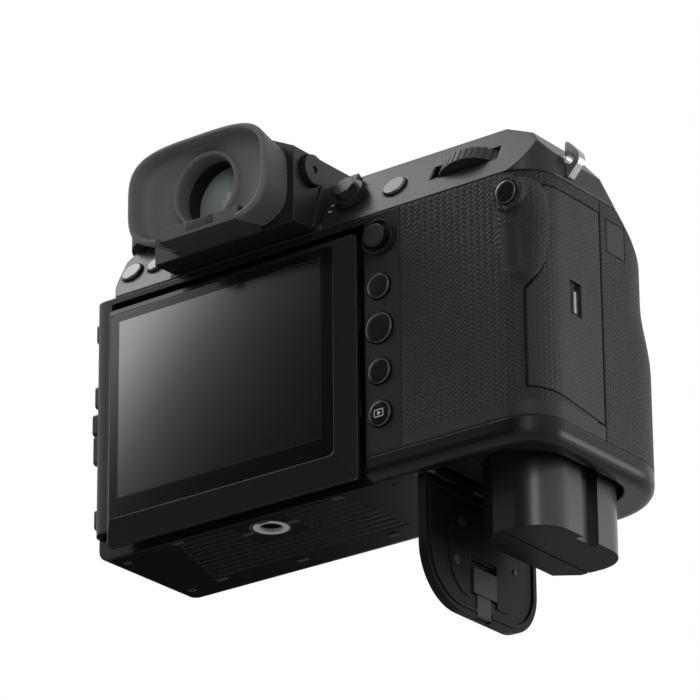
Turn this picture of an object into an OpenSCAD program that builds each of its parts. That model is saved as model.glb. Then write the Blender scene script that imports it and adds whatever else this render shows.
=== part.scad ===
// Medium format digital camera body with an open battery door.
// Origin at the mouth of the tripod socket, +Z up, lens towards -Y, monitor towards +Y, grip towards -X.

/* [Body] */
// Left wall, from the tripod axis
body_left = 52; // [51.5:0.5:55]
// Rear face behind the tripod axis
rear_y = 11.4; // [11.4:0.2:13]
// Front face ahead of the tripod axis
front_y = 32.2; // [31.2:0.2:34]
// Height of the top plate
top_z = 90.5; // [89:0.5:96]
// Seam between the bottom cover and the walls
low_seam = 6.2; // [5.8:0.1:7]
// Seam between the walls and the top cover
high_seam = 73.3; // [73:0.1:75]
// Wall thickness of the shells
wall = 1.8; // [1.4:0.1:2]
// Gap between neighbouring covers
seam = 0.15; // [0.1:0.05:0.25]
// Radius of the left corners
corner_r = 4; // [3.6:0.2:5]
// Radius of the lower edge
edge_r = 3.2; // [2:0.2:3.4]
// How far the rear slope of the top cover leans in
slope_run = 9.4; // [8:0.2:11]
// Where the brow above the grip begins, ahead of the tripod axis
brow_start = 18.9; // [17.5:0.1:20]

/* [Grip] */
// Reach of the grip ahead of the tripod axis
grip_reach = 54; // [53:0.5:58]
// How much less the grip reaches at the finger rest
waist_draw = 4; // [2:0.5:5]
// Width of the grip, from its inner side to its outer wall
grip_w = 39.5; // [39:0.5:43]
// Radius of the grip's outer front corner
nose_r = 21; // [19:0.5:22]
// Radius of the grip's inner front corner
finger_r = 12; // [10:0.5:13]
// Radius of the grip's rear corner
heel_r = 11; // [9:0.5:12]
// Width of the strip between the monitor and the grip's inner side
column_w = 16; // [15.6:0.2:18]
// How far the thumb rest stands out behind the pad
thumb_out = 3.6; // [3:0.2:4.4]

/* [Lens mount] */
// Height of the lens axis
lens_z = 44; // [43:0.5:45]
// Clear diameter of the throat
throat_d = 65; // [63:0.5:65.5]
// Width of the mount ring round the throat
ring_w = 6.5; // [6:0.1:7.5]
// How far the flange stands ahead of the front face
flange_out = 2.8; // [2:0.2:4]
// Distance from the flange to the image sensor
flange_focal = 26.7; // [26.4:0.1:27.2]

/* [Monitor] */
// Width of the monitor unit
monitor_w = 83; // [80:0.5:83]
// Height of the monitor unit
monitor_h = 68; // [66:0.5:68]
// Height of the lower edge
monitor_low = 0.8; // [0.6:0.1:1.2]
// Thickness of the outer rim
monitor_rim = 1; // [0.8:0.1:1.2]
// Thickness from the back of the rim to the glass seat
monitor_bezel = 2.2; // [2:0.1:2.4]
// Thickness of the monitor glass
glass_t = 0.5; // [0.4:0.1:0.7]

/* [Viewfinder] */
// Half width of the viewfinder housing
hump_half = 23.3; // [22.5:0.1:24]
// Height of the housing roof
hump_top = 100.6; // [99:0.2:103]
// Rear face of the housing
hump_rear = 20; // [19:0.5:21]
// Rear rim of the eyecup
eyecup_rear = 32.2; // [31:0.2:34]
// Height of the eyepiece axis
eye_z = 86.8; // [86:0.2:87.6]
// Diameter of the eyepiece opening
eyepiece_d = 20.6; // [19:0.2:21]
// Height of the accessory shoe
shoe_h = 3.6; // [3.2:0.1:4]

/* [Battery] */
// Battery thickness across the grip
battery_t = 22.3; // [21.5:0.1:22.4]
// Battery width along the grip
battery_w = 38.4; // [37:0.1:38.4]
// Battery length
battery_l = 52.3; // [48:0.1:53]
// How far the battery stands out of the base
battery_out = 18; // [14:0.5:18]
// Thickness of the battery door
door_t = 2.6; // [2.2:0.1:2.8]

/* [Controls] */
// Diameter of the small rear buttons
button_d = 7; // [6:0.1:7.4]
// Diameter of the menu button
menu_d = 8.4; // [7.4:0.1:8.6]
// How far a rear button stands out
button_out = 0.8; // [0.6:0.1:1.2]
// Diameter of the joystick cap
stick_d = 7.6; // [7:0.1:7.6]
// Diameter of the mode dial
mode_d = 23; // [20:0.5:24]
// Height of the mode dial
mode_h = 8; // [6:0.2:9]
// Diameter of the rear dial
rear_dial_d = 26; // [24:0.5:26]
// Diameter of the front dial
front_dial_d = 21; // [20.5:0.5:22]
// Thickness of both finger dials
dial_t = 4.4; // [3.6:0.1:4.8]
// Diameter of the shutter button
shutter_d = 10; // [9:0.2:11]
// Gap round a button in its hole
slip = 0.2; // [0.15:0.01:0.25]
// Gap round a pin in its bore
fit = 0.05; // [0.03:0.01:0.08]

/* [Tripod] */
// Clear diameter of the tripod socket
tripod_d = 6.35; // [6.2:0.05:6.5]
// Depth of the tripod socket's thread
tripod_depth = 5.5; // [5:0.1:6]
// Depth of the tapping hole behind the thread
tripod_tap = 1; // [0.8:0.1:1.4]

/* [Hidden] */
$fn = 48;
eps = 0.02;
far = 200;

// Widths from the left wall over the monitor to the grip
monitor_left = body_left - 7;
monitor_right = monitor_left - monitor_w;
grip_inner = column_w - monitor_right;
body_right = grip_inner + grip_w;
pad_left = grip_inner - 2.8;
mount_d = throat_d + 2 * ring_w;

// Slope of the top cover behind the top plate, and the leaning brow ahead of it above the grip
slope_a = atan2(top_z - high_seam, slope_run);
top_reach = grip_reach - waist_draw;
top_left = body_left - 5.6;
brow_z = top_z - 11.4;
brow_a = 36.7;
brow_lean = 30.9;

// Planes of the monitor, from its recess floor to its glass
tray_floor = rear_y - 8.8;
tray_t = 1.2;
arm_y = tray_floor + 0.4;
plate_t = 1.6;
cradle_y = arm_y + plate_t + 0.4;
block_y = cradle_y + plate_t + 0.4;
rim_y = rear_y + 0.4;
glass_y = rim_y + monitor_bezel;
monitor_high = monitor_low + monitor_h;
recess_left = monitor_left + 0.3;
recess_right = monitor_right - 1.5;
recess_high = monitor_high + 2.6;
base_rear = rear_y - 3.8;
border_side = 2;
border_grip = 6.5;
border_low = 7.4;
border_high = 2.2;

// Hinge lines of the monitor
pin_r = 0.8;
knuckle_r = 1.9;
side_knuckle_r = 1.5;
low_hinge = [rear_y - 2, monitor_low + 4.2];
high_hinge = [rear_y - 2.8, monitor_high - 4.3];
side_hinge = [monitor_right + 2.4, rear_y - 1.4];
low_lugs = [monitor_left - 18, monitor_right + 16];
high_lugs = [monitor_left - 12, monitor_right + 13];
side_lugs = [monitor_low + 20, monitor_high - 22.8];
lug_w = 5;
lug_gap = 0.2;
ear_w = 2;

// Battery, its chamber and its door
battery_x = -body_right + 7;
card_room = 12;
battery_y = rear_y - card_room - battery_w;
battery_home = 4.6;
slab_t = 8.4;
slab_edge = [2.5, 4.2];
lobe_r = 10;
lobe_groove = [7, 2.2];
chamber_gap = 0.35;
chamber_t = 0.9;
grip_floor = 3.2;
door_left = grip_inner + 1.7;
door_right = body_right - 4.9;
door_front = 1.8 - battery_y;
door_rear = rear_y - 4.4;
door_nose_r = 13;
door_heel_r = 15;
door_gap = 0.3;
door_hinge = [-grip_inner, 1.6];
door_knuckle_r = 1.5;
door_pin_r = 0.7;
door_ears = [-door_front + 5, (door_rear - door_front) / 2 - 4, door_rear - 13];
door_ear_w = 8;

// Card door on the grip side
card_front = 17.2;
card_low = 10.8;
card_high = high_seam - 3.8;
card_rise = 3.4;
card_pin_r = 0.55;
card_hinge = [-body_right + 1.4, -card_front + 1.2];
card_t = 2;
card_step = 44;
card_rear_high = rear_y - 5.9;
card_rear_low = rear_y - 2.1;
card_gap = 0.4;
card_swing = card_rear_low - card_hinge[1] + 0.2;
remote_low = high_seam - 13.3;
remote_high = high_seam - 4.4;
remote_front = card_front + 11.4;
remote_rear = card_front + 3.2;
remote_t = 1.5;
remote_hole_r = 1.3;

// Places of the controls
column_x = monitor_right - 6.3;
stick_z = 66.2;
ael_z = 52.5;
menu_z = 40.8;
display_z = 28.8;
play_z = 17.1;
q_place = [-body_right + 6.2, 65.5];
q_face = rear_y + thumb_out;
q_r = 3.2;
af_place = [-hump_half - 23.3, 9.5];
focus_place = [-hump_half - 8.7, 10.8];
rear_dial_place = [-body_right + 24.5, 10];
rear_dial_in = rear_dial_d / 2 - 3;
drive_place = [body_left - 10.2, 9.2];
lock_place = [body_left - 18.4, 9.2];
mode_place = [body_left - 14.6, rear_y - 16.4];
shutter_place = [22.7, -16.3];
front_dial_place = [14.6, 18.8 - grip_reach];
front_dial_in = 5.2;
front_axle_r = 1.5;
release_place = [body_left - 9, lens_z - 22];
lock_pin_r = 1.2;
lock_pin_at = mount_d / 2 - 3.4;
release_a = atan2(release_place[1] - lens_z, release_place[0]);
diopter_place = [hump_rear - 7, eye_z + 3.8];
lug_z = 79.2;
lug_y = -4;

// Depths of the imaging unit and radii of the mount boss
sensor_y = -front_y - flange_out + flange_focal;
shutter_front = sensor_y - 7.7;
tube_r = mount_d / 2 - 3;
boss_r = mount_d / 2 + 2.4;
gate_half = [throat_d * 0.4, throat_d * 0.315];
collar_rear = -front_y + wall + 0.4;
tab_rear = collar_rear + 1.8;
contact_half = 15;
contact_pitch = 2.4;
contact_low = lens_z - sqrt(pow(tube_r - wall, 2) - pow(contact_half, 2)) + 0.1;
sensor_half = [25, 19.5];
sensor_t = 2.8;
sensor_frame_half = [36, 27];
shutter_half = 38;
shutter_low = 33;
shutter_high = 28.6;
wall_z = [low_seam + seam, high_seam - seam];

// Sockets and covers of the left side, windows as front, rear, low and high edges
socket_windows = [[-16.5, -4.5, 14, 22], [-16.5, -4.5, 25, 37.5], [-16.5, -4.5, 44.5, 54]];
front_return = 9.2;
panel_front = -front_y + front_return + 0.2;
cover_y = [-20, 2.4];
cover_t = 2;
// Height and finger tabs of each cover, a tab as low and high edge and stand out
cover_upper = [43.8, 69.5];
upper_tabs = [[63, 68.4, 0.9], [44.2, 50.5, 1.3]];
cover_lower = [9, 43];
lower_tabs = [[36.5, 42.6, 2.1], [28, 36.3, 1.7], [9.4, 15, 1.1]];

// Viewfinder housing and its eyepiece
hump_low = high_seam + seam + wall + 0.1;
hump_t = 2;
lip_half = 13;
lip_y = eyecup_rear - 1.8;
lip_z = [74, 77.6];
eyecup_y = hump_rear + 0.15;
diopter_r = 4.2;
frame_t = 0.8;

// Display on the top and strap lugs
display_x = [-hump_half - 37.7, -hump_half - 5.7];
display_y = [-20, -1];
lug_shank_r = 1.6;
lug_r = 3;
lug_off = 1.5;
lug_t = 2.6;
lug_eye_r = 1.3;
lug_foot = [0.9, 5];

// Latches
chamber_high = battery_home + battery_l + 1.2;
latch_x = -door_right + 10;
latch_y = (door_rear - door_front) / 2;
latch_window_y = [-8.3, -3.2];
latch_window_z = [36.8, 46.2];
latch_y_mid = (latch_window_y[0] + latch_window_y[1]) / 2;

// Shared shapes

module box(x, y, z) {
    translate([x[0], y[0], z[0]]) cube([x[1] - x[0], y[1] - y[0], z[1] - z[0]]);
}

module rod_x(x, y, z, r) {
    translate([x[0], y, z]) rotate([0, 90, 0]) cylinder(h = x[1] - x[0], r = r);
}

module rod_y(x, y, z, r) {
    translate([x, y[1], z]) rotate([90, 0, 0]) cylinder(h = y[1] - y[0], r = r);
}

module rod_z(x, y, z, r) {
    translate([x, y, z[0]]) cylinder(h = z[1] - z[0], r = r);
}

// Extrudes an outline drawn in Y and Z along X
module along_x(x) {
    translate([x[0], 0, 0]) rotate([90, 0, 90]) linear_extrude(x[1] - x[0]) children();
}

// Extrudes an outline drawn in X and Z along Y
module along_y(y) {
    translate([0, y[1], 0]) rotate([90, 0, 0]) linear_extrude(y[1] - y[0]) children();
}

// Rectangle with round corners
module round_box(x, y, r) {
    translate([x[0] + r, y[0]]) square([x[1] - x[0] - 2 * r, y[1] - y[0]]);
    translate([x[0], y[0] + r]) square([x[1] - x[0], y[1] - y[0] - 2 * r]);
    for (px = [x[0] + r, x[1] - r])
        for (py = [y[0] + r, y[1] - r])
            translate([px, py]) circle(r);
}

// Plan of the main block, drawn in by t
module main_plan(t = 0) {
    round_box([-grip_inner - finger_r, body_left - t], [-front_y + t, rear_y - t], corner_r - t);
}

// Plan of the grip, drawn in by t, reaching forward to the given depth
module grip_plan(t = 0, reach = grip_reach) {
    polygon(concat(heel_arc(t), front_arcs(t, reach), [[-grip_inner - t, rear_y - t]]));
}

module body_plan(t = 0, reach = grip_reach) {
    main_plan(t);
    grip_plan(t, reach);
}

// Wall of the body between two heights
module body_wall(z, t = wall, reach = grip_reach) {
    translate([0, 0, z[0]]) linear_extrude(z[1] - z[0]) difference() {
        body_plan(0, reach);
        body_plan(t, reach);
    }
}

// Outlines as rings of points, and solids lofted over them
function arc(c, r, a, n) = [
    for (i = [0:n]) c + r * [cos(a[0] + (a[1] - a[0]) * i / n), sin(a[0] + (a[1] - a[0]) * i / n)]
];
function ease(x) = x <= 0 ? 0 : x >= 1 ? 1 : x * x * (3 - 2 * x);
function reversed(list) = [for (i = [len(list) - 1:-1:0]) list[i]];

// Chords of each corner in these outlines
corner_n = 8;
heel_n = 12;
nose_n = 16;
finger_n = 10;
function heel_arc(t) = arc([-body_right + heel_r, rear_y - heel_r], heel_r - t, [90, 180], heel_n);
function front_arcs(t, reach) = concat(
    arc([-body_right + nose_r, -reach + nose_r], nose_r - t, [180, 270], nose_n),
    arc([-grip_inner - finger_r, -reach + finger_r], finger_r - t, [270, 360], finger_n)
);

// Outline of the whole body, drawn in by t, and the two convex faces that close it
function body_path(t) = concat(
    arc([body_left - corner_r, rear_y - corner_r], corner_r - t, [0, 90], corner_n),
    heel_arc(t),
    front_arcs(t, grip_reach),
    [[-grip_inner - t, -front_y + t]],
    arc([body_left - corner_r, -front_y + corner_r], corner_r - t, [270, 360], corner_n)
);
heel_at = corner_n + 1;
inner_at = heel_at + heel_n + nose_n + finger_n + 3;
body_faces = [
    [for (j = [heel_at:inner_at]) j],
    concat([for (j = [inner_at:inner_at + corner_n + 1]) j], [for (j = [0:heel_at]) j])
];

// Section of the grip's shell, from the card door round to the front cover
function grip_path(t, reach) = concat(
    [[-body_right + t, -card_front - 0.8]],
    front_arcs(t, reach),
    [[-grip_inner - t, -front_y + (t > 0 ? wall : seam)]]
);
waist_z = [34, 52];
function reach_at(z) = grip_reach - waist_draw * ease((z - waist_z[0]) / (waist_z[1] - waist_z[0]));
function grip_ring(reach) = concat(grip_path(0, reach), reversed(grip_path(wall, reach)));
grip_n = nose_n + finger_n + 4;
grip_faces = [for (j = [0:grip_n - 2]) [j, j + 1, 2 * grip_n - 2 - j, 2 * grip_n - 1 - j]];

// Solid over rings of points, closed at each end by the given faces
module loft(rings, heights, faces) {
    n = len(rings[0]);
    points = [for (i = [0:len(rings) - 1]) for (p = rings[i]) [p[0], p[1], heights[i]]];
    sides = [
        for (i = [0:len(rings) - 2]) for (j = [0:n - 1])
            for (f = [
                [i * n + j, (i + 1) * n + j, (i + 1) * n + (j + 1) % n],
                [i * n + j, (i + 1) * n + (j + 1) % n, i * n + (j + 1) % n]
            ]) f
    ];
    top = [for (f = faces) [for (j = reversed(f)) (len(rings) - 1) * n + j]];
    polyhedron(points, concat(sides, faces, top));
}

// Frames on the rear slope and on the brow, with z along the outward normal
module on_slope(place) {
    translate([place[0], rear_y - place[1] * cos(slope_a), high_seam + place[1] * sin(slope_a)])
        rotate([-slope_a, 0, 0]) children();
}

module on_brow(place) {
    translate([-body_right, -brow_start, brow_z]) rotate([brow_a, -brow_lean, 0])
        translate([place[0], place[1], 0]) children();
}

// Round cap with a soft edge, standing on z = 0
module cap(r, h, soft = 0.5) {
    rotate_extrude() {
        square([r - soft, h]);
        square([r, h - soft]);
        translate([r - soft, h - soft]) circle(soft);
    }
}

// Disc with finger teeth round its rim, centred on z = 0
module finger_dial(r, t, teeth, bore) {
    tooth_r = PI * r / teeth / 2.4;
    difference() {
        cylinder(h = t, r = r, center = true);
        for (i = [0:teeth - 1])
            rotate(360 * i / teeth) translate([r + tooth_r * 0.35, 0])
                cylinder(h = t + 1, r = tooth_r, center = true);
        cylinder(h = t + 1, r = bore, center = true);
    }
}

// Bottom cover

module door_plan(t = 0) {
    nose = [-door_right + door_nose_r, -door_front + door_nose_r];
    heel = [-door_right + door_heel_r, door_rear - door_heel_r];
    polygon([
        [-door_left - t, -door_front + t], [nose[0], -door_front + t], [-door_right + t, nose[1]],
        [-door_right + t, heel[1]], [heel[0], door_rear - t], [-door_left - t, door_rear - t]
    ]);
    translate(nose) circle(door_nose_r - t);
    translate(heel) circle(door_heel_r - t);
}

module base_grooves() {
    groove_count = 10;
    groove_pitch = 2.7;
    groove_w = 1.2;
    groove_depth = 0.5;
    groove_rear = 4.8;
    for (i = [0:groove_count - 1]) {
        y = groove_rear - i * groove_pitch;
        lean = i * 0.9;
        left = 26.5 + lean;
        right = -28.5 - lean * 0.1;
        if (abs(y) > 8.5)
            box([right, left], [y - groove_w / 2, y + groove_w / 2], [-1, groove_depth]);
        else {
            box([right, -9], [y - groove_w / 2, y + groove_w / 2], [-1, groove_depth]);
            box([9, left], [y - groove_w / 2, y + groove_w / 2], [-1, groove_depth]);
        }
    }
}

// Ears that carry the lower pins of the monitor arm
module low_ears() {
    for (x = low_lugs)
        for (ear_x = [x - lug_w / 2 - lug_gap - ear_w, x + lug_w / 2 + lug_gap])
            difference() {
                union() {
                    rod_x([ear_x, ear_x + ear_w], low_hinge[0], low_hinge[1], knuckle_r);
                    box([ear_x, ear_x + ear_w], [base_rear - wall, low_hinge[0]],
                        [low_hinge[1] - knuckle_r, low_hinge[1] + knuckle_r]);
                }
                rod_x([ear_x - 1, ear_x + ear_w + 1], low_hinge[0], low_hinge[1], pin_r);
            }
}

module bottom_cover() color("#1b1b1c") {
    steps = 4;
    turns = [for (i = [0:steps]) 90 * i / steps];
    insets = concat([for (a = turns) edge_r * (1 - sin(a))], [0]);
    heights = concat([for (a = turns) edge_r * (1 - cos(a))], [low_seam]);
    floor_x = -grip_inner + 2;
    difference() {
        loft([for (t = insets) body_path(t)], heights, body_faces);
        translate([0, 0, wall]) linear_extrude(far) intersection() {
            main_plan(wall);
            translate([floor_x, -far]) square([far, far + base_rear - wall]);
        }
        translate([0, 0, grip_floor]) linear_extrude(far) intersection() {
            body_plan(wall);
            translate([-far, -far]) square([far + floor_x + 1, far + base_rear - wall]);
        }
        translate([0, 0, grip_floor]) linear_extrude(far) grip_plan(wall);
        box([recess_right, far], [base_rear, far], [-1, far]);
        translate([0, 0, -1]) linear_extrude(far) {
            door_plan(-door_gap);
            translate([-door_left - 2, -door_front])
                square([door_left + 2 - grip_inner + door_knuckle_r + 0.3, door_rear + door_front]);
        }
        base_grooves();
        rod_z(0, 0, [-1, far], tripod_d / 2 + 2.2);
        for (x = low_lugs)
            box([x - lug_w / 2 - lug_gap, x + lug_w / 2 + lug_gap], [base_rear - wall - 1, far],
                [low_hinge[1] - knuckle_r - 0.3, far]);
    }
    low_ears();
    door_hinge_ears();
}

// Ears of the battery door's hinge
module door_hinge_ears() {
    for (y = door_ears)
        difference() {
            union() {
                rod_y(door_hinge[0], [y, y + door_ear_w], door_hinge[1], door_knuckle_r);
                box([door_hinge[0], door_hinge[0] + door_knuckle_r + 1.2], [y, y + door_ear_w],
                    [door_hinge[1] - door_knuckle_r, grip_floor]);
            }
            rod_y(door_hinge[0], [-far, far], door_hinge[1], door_pin_r);
        }
}

// Walls of the body

module front_cover() color("#202021") {
    difference() {
        union() {
            intersection() {
                body_wall(wall_z);
                box([-grip_inner + seam, far], [-far, -front_y + front_return], [0, far]);
            }
            intersection() {
                rod_y(0, [-front_y - 0.6, -front_y + wall], lens_z, boss_r);
                box([-far, far], [-far, far], [wall_z[0], far]);
            }
            rod_y(0, [-front_y + wall / 2, shutter_front - 0.2], lens_z, tube_r);
            rod_y(release_place[0], [-front_y, -front_y + 4], release_place[1], 5.4);
        }
        rod_y(0, [-far, shutter_front - 1.4], lens_z, tube_r - wall);
        rod_y(0, [-far, -front_y + wall + 1], lens_z, throat_d / 2 + 1.5);
        along_y([-far, far])
            round_box([-gate_half[0], gate_half[0]], [lens_z - gate_half[1], lens_z + gate_half[1]], 2);
        rod_y(release_place[0], [-far, far], release_place[1], 4 + slip);
        lock_pin_place() rod_y(0, [-far, far], 0, lock_pin_r + slip);
    }
}

module lock_pin_place() {
    translate([lock_pin_at * cos(release_a), 0, lens_z + lock_pin_at * sin(release_a)]) children();
}

module front_dial_frame() {
    on_brow(front_dial_place) translate([0, 0, -front_dial_in]) children();
}

module grip_cover() color("#1d1d1e") {
    heights = concat([wall_z[0]], [for (z = [waist_z[0]:3:waist_z[1]]) z], [wall_z[1]]);
    difference() {
        union() {
            loft([for (z = heights) grip_ring(reach_at(z))], heights, grip_faces);
            box([-body_right + wall - 0.6, -body_right + wall + 1.7], [-remote_front - 1, -remote_rear + 1],
                [remote_low - 1, remote_high + 1]);
            brow_plate();
        }
        on_brow([0, 0]) translate([-far, -far, 0]) cube(2 * far);
        box([-far, -body_right + remote_t + 0.1], [-remote_front - 0.3, -remote_rear + 0.35],
            [remote_low - 0.3, remote_high + 0.3]);
        rod_x([-far, -body_right + wall + 3], -(remote_front + remote_rear) / 2,
            (remote_low + remote_high) / 2, remote_hole_r);
        front_dial_frame() cylinder(h = dial_t + 1, r = front_dial_d / 2 + 0.5, center = true);
    }
    front_dial_frame() translate([0, 0, -dial_t / 2 - 0.6])
        cylinder(h = front_dial_in + dial_t / 2 + 0.6 - wall / 2, r = front_axle_r);
}

// Plate that closes the grip cover below the brow
module brow_plate() {
    intersection() {
        on_brow([0, 0]) translate([-far / 2, -far / 2, -wall]) cube([far, far, wall]);
        translate([0, 0, wall_z[0]]) linear_extrude(wall_z[1] - wall_z[0]) intersection() {
            grip_plan(wall / 2, top_reach);
            translate([-far, -far]) square([far, far - card_front - 0.8]);
        }
    }
}

module rear_cover() color("#1a1a1b") {
    collar_r = stick_d / 2 + 1.1;
    collar_t = 0.6;
    difference() {
        union() {
            intersection() {
                translate([0, 0, wall_z[0]]) linear_extrude(wall_z[1] - wall_z[0]) body_plan();
                box([-pad_left + seam, far], [rear_y - wall, far], [0, far]);
            }
            box([recess_right - 1.5, recess_left + 0.8], [tray_floor - tray_t, rear_y - wall + eps], wall_z);
            rod_y(column_x, [rear_y - wall, rear_y + 0.9], stick_z, collar_r);
            for (side = [-1, 1])
                box([column_x + side * 3.6 - 0.6, column_x + side * 3.6 + 0.6],
                    [rear_y - 6, rear_y - wall + eps], [stick_z - 1.4, stick_z + 1.4]);
        }
        box([recess_right, recess_left], [tray_floor, far], [0, recess_high]);
        for (z = [[ael_z, button_d], [menu_z, menu_d], [display_z, button_d], [play_z, button_d]])
            rod_y(column_x, [0, far], z[0], z[1] / 2 + slip);
        rod_y(column_x, [rear_y - wall - 1, far], stick_z, 2.3);
        rod_y(column_x, [rear_y, far], stick_z, collar_r - collar_t);
        rod_x([column_x - 5, column_x + 5], rear_y - 4.5, stick_z, 0.5 + fit);
        rod_z(0, 0, [0, tripod_depth + tripod_tap + 1.4], tripod_d / 2 + 2.4);
    }
}

// Side view of the card door, grown by g
module card_side(g = 0) {
    polygon([
        [-card_front - g, card_low - g], [card_rear_low + g, card_low + card_rise - g],
        [card_rear_low + g, card_step - 4 + g], [card_rear_high + g, card_step + 4 + g],
        [card_rear_high + g, card_high + g], [-card_front - g, card_high + g]
    ]);
}

module thumb_rest() {
    hull() {
        translate([q_place[0] + 0.4, q_face - 7.2, q_place[1] - 0.6]) sphere(7, $fn = 32);
        translate([q_place[0] - 0.4, q_face - 8.6, q_place[1] - 6]) sphere(6.8, $fn = 32);
        translate([q_place[0] + 1.6, rear_y - 6.4, q_place[1] - 19]) sphere(6.6, $fn = 32);
    }
}

module rear_grip_pad() color("#232324") {
    difference() {
        union() {
            intersection() {
                body_wall(wall_z, card_t);
                box([-far, -pad_left], [-card_front - card_gap, far], [0, far]);
            }
            intersection() {
                rod_z(card_hinge[0], card_hinge[1], [card_low - 3.4, card_high + 3.2], 1.9);
                translate([0, 0, -1]) linear_extrude(far) body_plan(card_t / 2);
            }
            difference() {
                thumb_rest();
                translate([0, 0, -1]) linear_extrude(far) body_plan(card_t - 0.3);
            }
            intersection() {
                rod_y(q_place[0], [rear_y - card_t, q_face], q_place[1], 4.8);
                box([-far, far], [-far, far], [0, wall_z[1]]);
            }
        }
        along_x([-far, -body_right + heel_r]) card_side(card_gap);
        rod_z(card_hinge[0], card_hinge[1], [card_low - 2.4, card_high + 2.2], card_pin_r + fit);
        rod_z(card_hinge[0], card_hinge[1], [card_low - card_gap, card_high + card_gap], 2.2);
        rod_y(q_place[0], [0, far], q_place[1], q_r + slip);
        box([-far, far], [-far, far], [wall_z[1], far]);
    }
}

module left_side_panel() color("#1e1e1f") {
    roof_x = recess_left + 1;
    roof_z = [wall_z[1] - wall, wall_z[1]];
    difference() {
        union() {
            intersection() {
                body_wall(wall_z);
                box([body_left - wall, far], [panel_front, rear_y - wall - seam], [0, far]);
            }
            box([roof_x, body_left - wall / 2], [panel_front, rear_y - corner_r], roof_z);
            intersection() {
                box([roof_x, body_left], [-front_y, rear_y], roof_z);
                linear_extrude(far) main_plan(wall + seam);
            }
        }
        for (s = socket_windows)
            along_x([0, far]) round_box([s[0], s[1]], [s[2], s[3]], 1);
    }
}

// Top cover

module top_plan(t) {
    round_box([-grip_inner - finger_r, top_left - t], [-front_y + t, rear_y - t], corner_r - t);
    grip_plan(t, top_reach);
}

module top_profiles(t) {
    rear_low = rear_y - t / sin(slope_a);
    rear_high = rear_y - slope_run - t * tan(slope_a / 2);
    along_x([-grip_inner, far]) polygon([
        [rear_low, high_seam], [rear_high, top_z - t], [-front_y + 8, top_z - t],
        [-front_y + t, top_z - 10 - t], [-front_y + t, high_seam - 1], [rear_low, high_seam - 1]
    ]);
    along_x([-far, -grip_inner + 1]) polygon([
        [rear_low, high_seam], [rear_high, top_z - t], [-top_reach + t, top_z - t],
        [-top_reach + t, high_seam - 1], [rear_low, high_seam - 1]
    ]);
}

module top_solid(t) {
    difference() {
        intersection() {
            translate([0, 0, high_seam - 0.5]) linear_extrude(far) top_plan(t);
            top_profiles(t);
            along_y([-far, far]) polygon([
                [-body_right + t, 0], [-body_right + t, top_z - 11 - t * 0.5],
                [-body_right + 4.5 + t * 0.7, top_z - 5 - t * 0.7], [-body_right + 14.5, top_z - t],
                [top_left - 3 - t * 0.4, top_z - t], [top_left - t, top_z - 3.6 - t * 0.4], [top_left - t, 0]
            ]);
        }
        on_brow([0, 0]) translate([-far, -far, -t]) cube(2 * far);
    }
}

module button_hole(r) {
    translate([0, 0, -wall - 3]) cylinder(h = far, r = r + slip);
}

module top_cover() color("#1c1c1d") {
    base = high_seam + seam;
    bay = hump_half + seam;
    difference() {
        union() {
            difference() {
                top_solid(0);
                top_solid(wall);
                box([-bay, bay], [-front_y + 2.6, far], [0, far]);
                box([-far, far], [-far, far], [0, base]);
            }
            box([-bay - wall, bay + wall], [-front_y + 4, rear_y - 0.2], [base, base + wall]);
            intersection() {
                top_solid(0);
                for (side = [-1, 1])
                    box([side * (bay + wall / 2) - wall / 2, side * (bay + wall / 2) + wall / 2],
                        [-front_y + 2.6, far], [base, far]);
            }
            intersection() {
                top_solid(wall / 2);
                on_slope(rear_dial_place) translate([0, dial_t / 2 + 0.6, -rear_dial_in]) rotate([90, 0, 0])
                    cylinder(h = far, r = 1.2);
            }
            on_slope(focus_place) translate([0, 0, -wall]) cylinder(h = wall + 2.4, r = 1.6);
            rod_z(mode_place[0], mode_place[1], [top_z - wall, top_z + 4], 2);
            on_brow(shutter_place) translate([0, 0, -wall]) cylinder(h = wall + 1.5, r = shutter_d / 2 + 2.2);
        }
        on_slope(af_place) button_hole(3.4);
        on_slope(drive_place) button_hole(3.2);
        on_slope(lock_place) button_hole(2.6);
        on_slope(rear_dial_place) translate([-10.6, -dial_t / 2 - 0.4, -6]) cube([21.2, dial_t + 0.8, 12]);
        on_brow(shutter_place) button_hole(shutter_d / 2);
        box(display_x, display_y, [top_z - 0.8, far]);
        rod_x([top_left - 6, far], lug_y, lug_z, lug_shank_r + fit);
        rod_x([-far, -body_right + 6], lug_y, lug_z, lug_shank_r + fit);
        rod_y(0, [-far, -front_y + wall + 0.3], lens_z, boss_r + 0.2);
        rod_y(0, [-far, shutter_front + 0.2], lens_z, tube_r + 0.4);
    }
}

// Viewfinder

module hump_solid(t) {
    front = -front_y + 2.8;
    intersection() {
        along_x([-hump_half + t, hump_half - t]) polygon([
            [front + t, hump_low + t], [rear_y + 0.15 + t, hump_low + t], [rear_y + 0.15 + t, lip_z[0] + t],
            [hump_rear - t, lip_z[0] + t], [hump_rear - t, hump_top - 1.4 - t], [2, hump_top - t],
            [-22, hump_top - t], [front + t, hump_top - 9]
        ]);
        along_y([-far, far]) polygon([
            [-hump_half + t, 0], [-hump_half + t, hump_top - 5 - t * 0.5], [-hump_half + 10, hump_top - t],
            [hump_half - 10, hump_top - t], [hump_half - t, hump_top - 5 - t * 0.5], [hump_half - t, 0]
        ]);
    }
}

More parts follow.
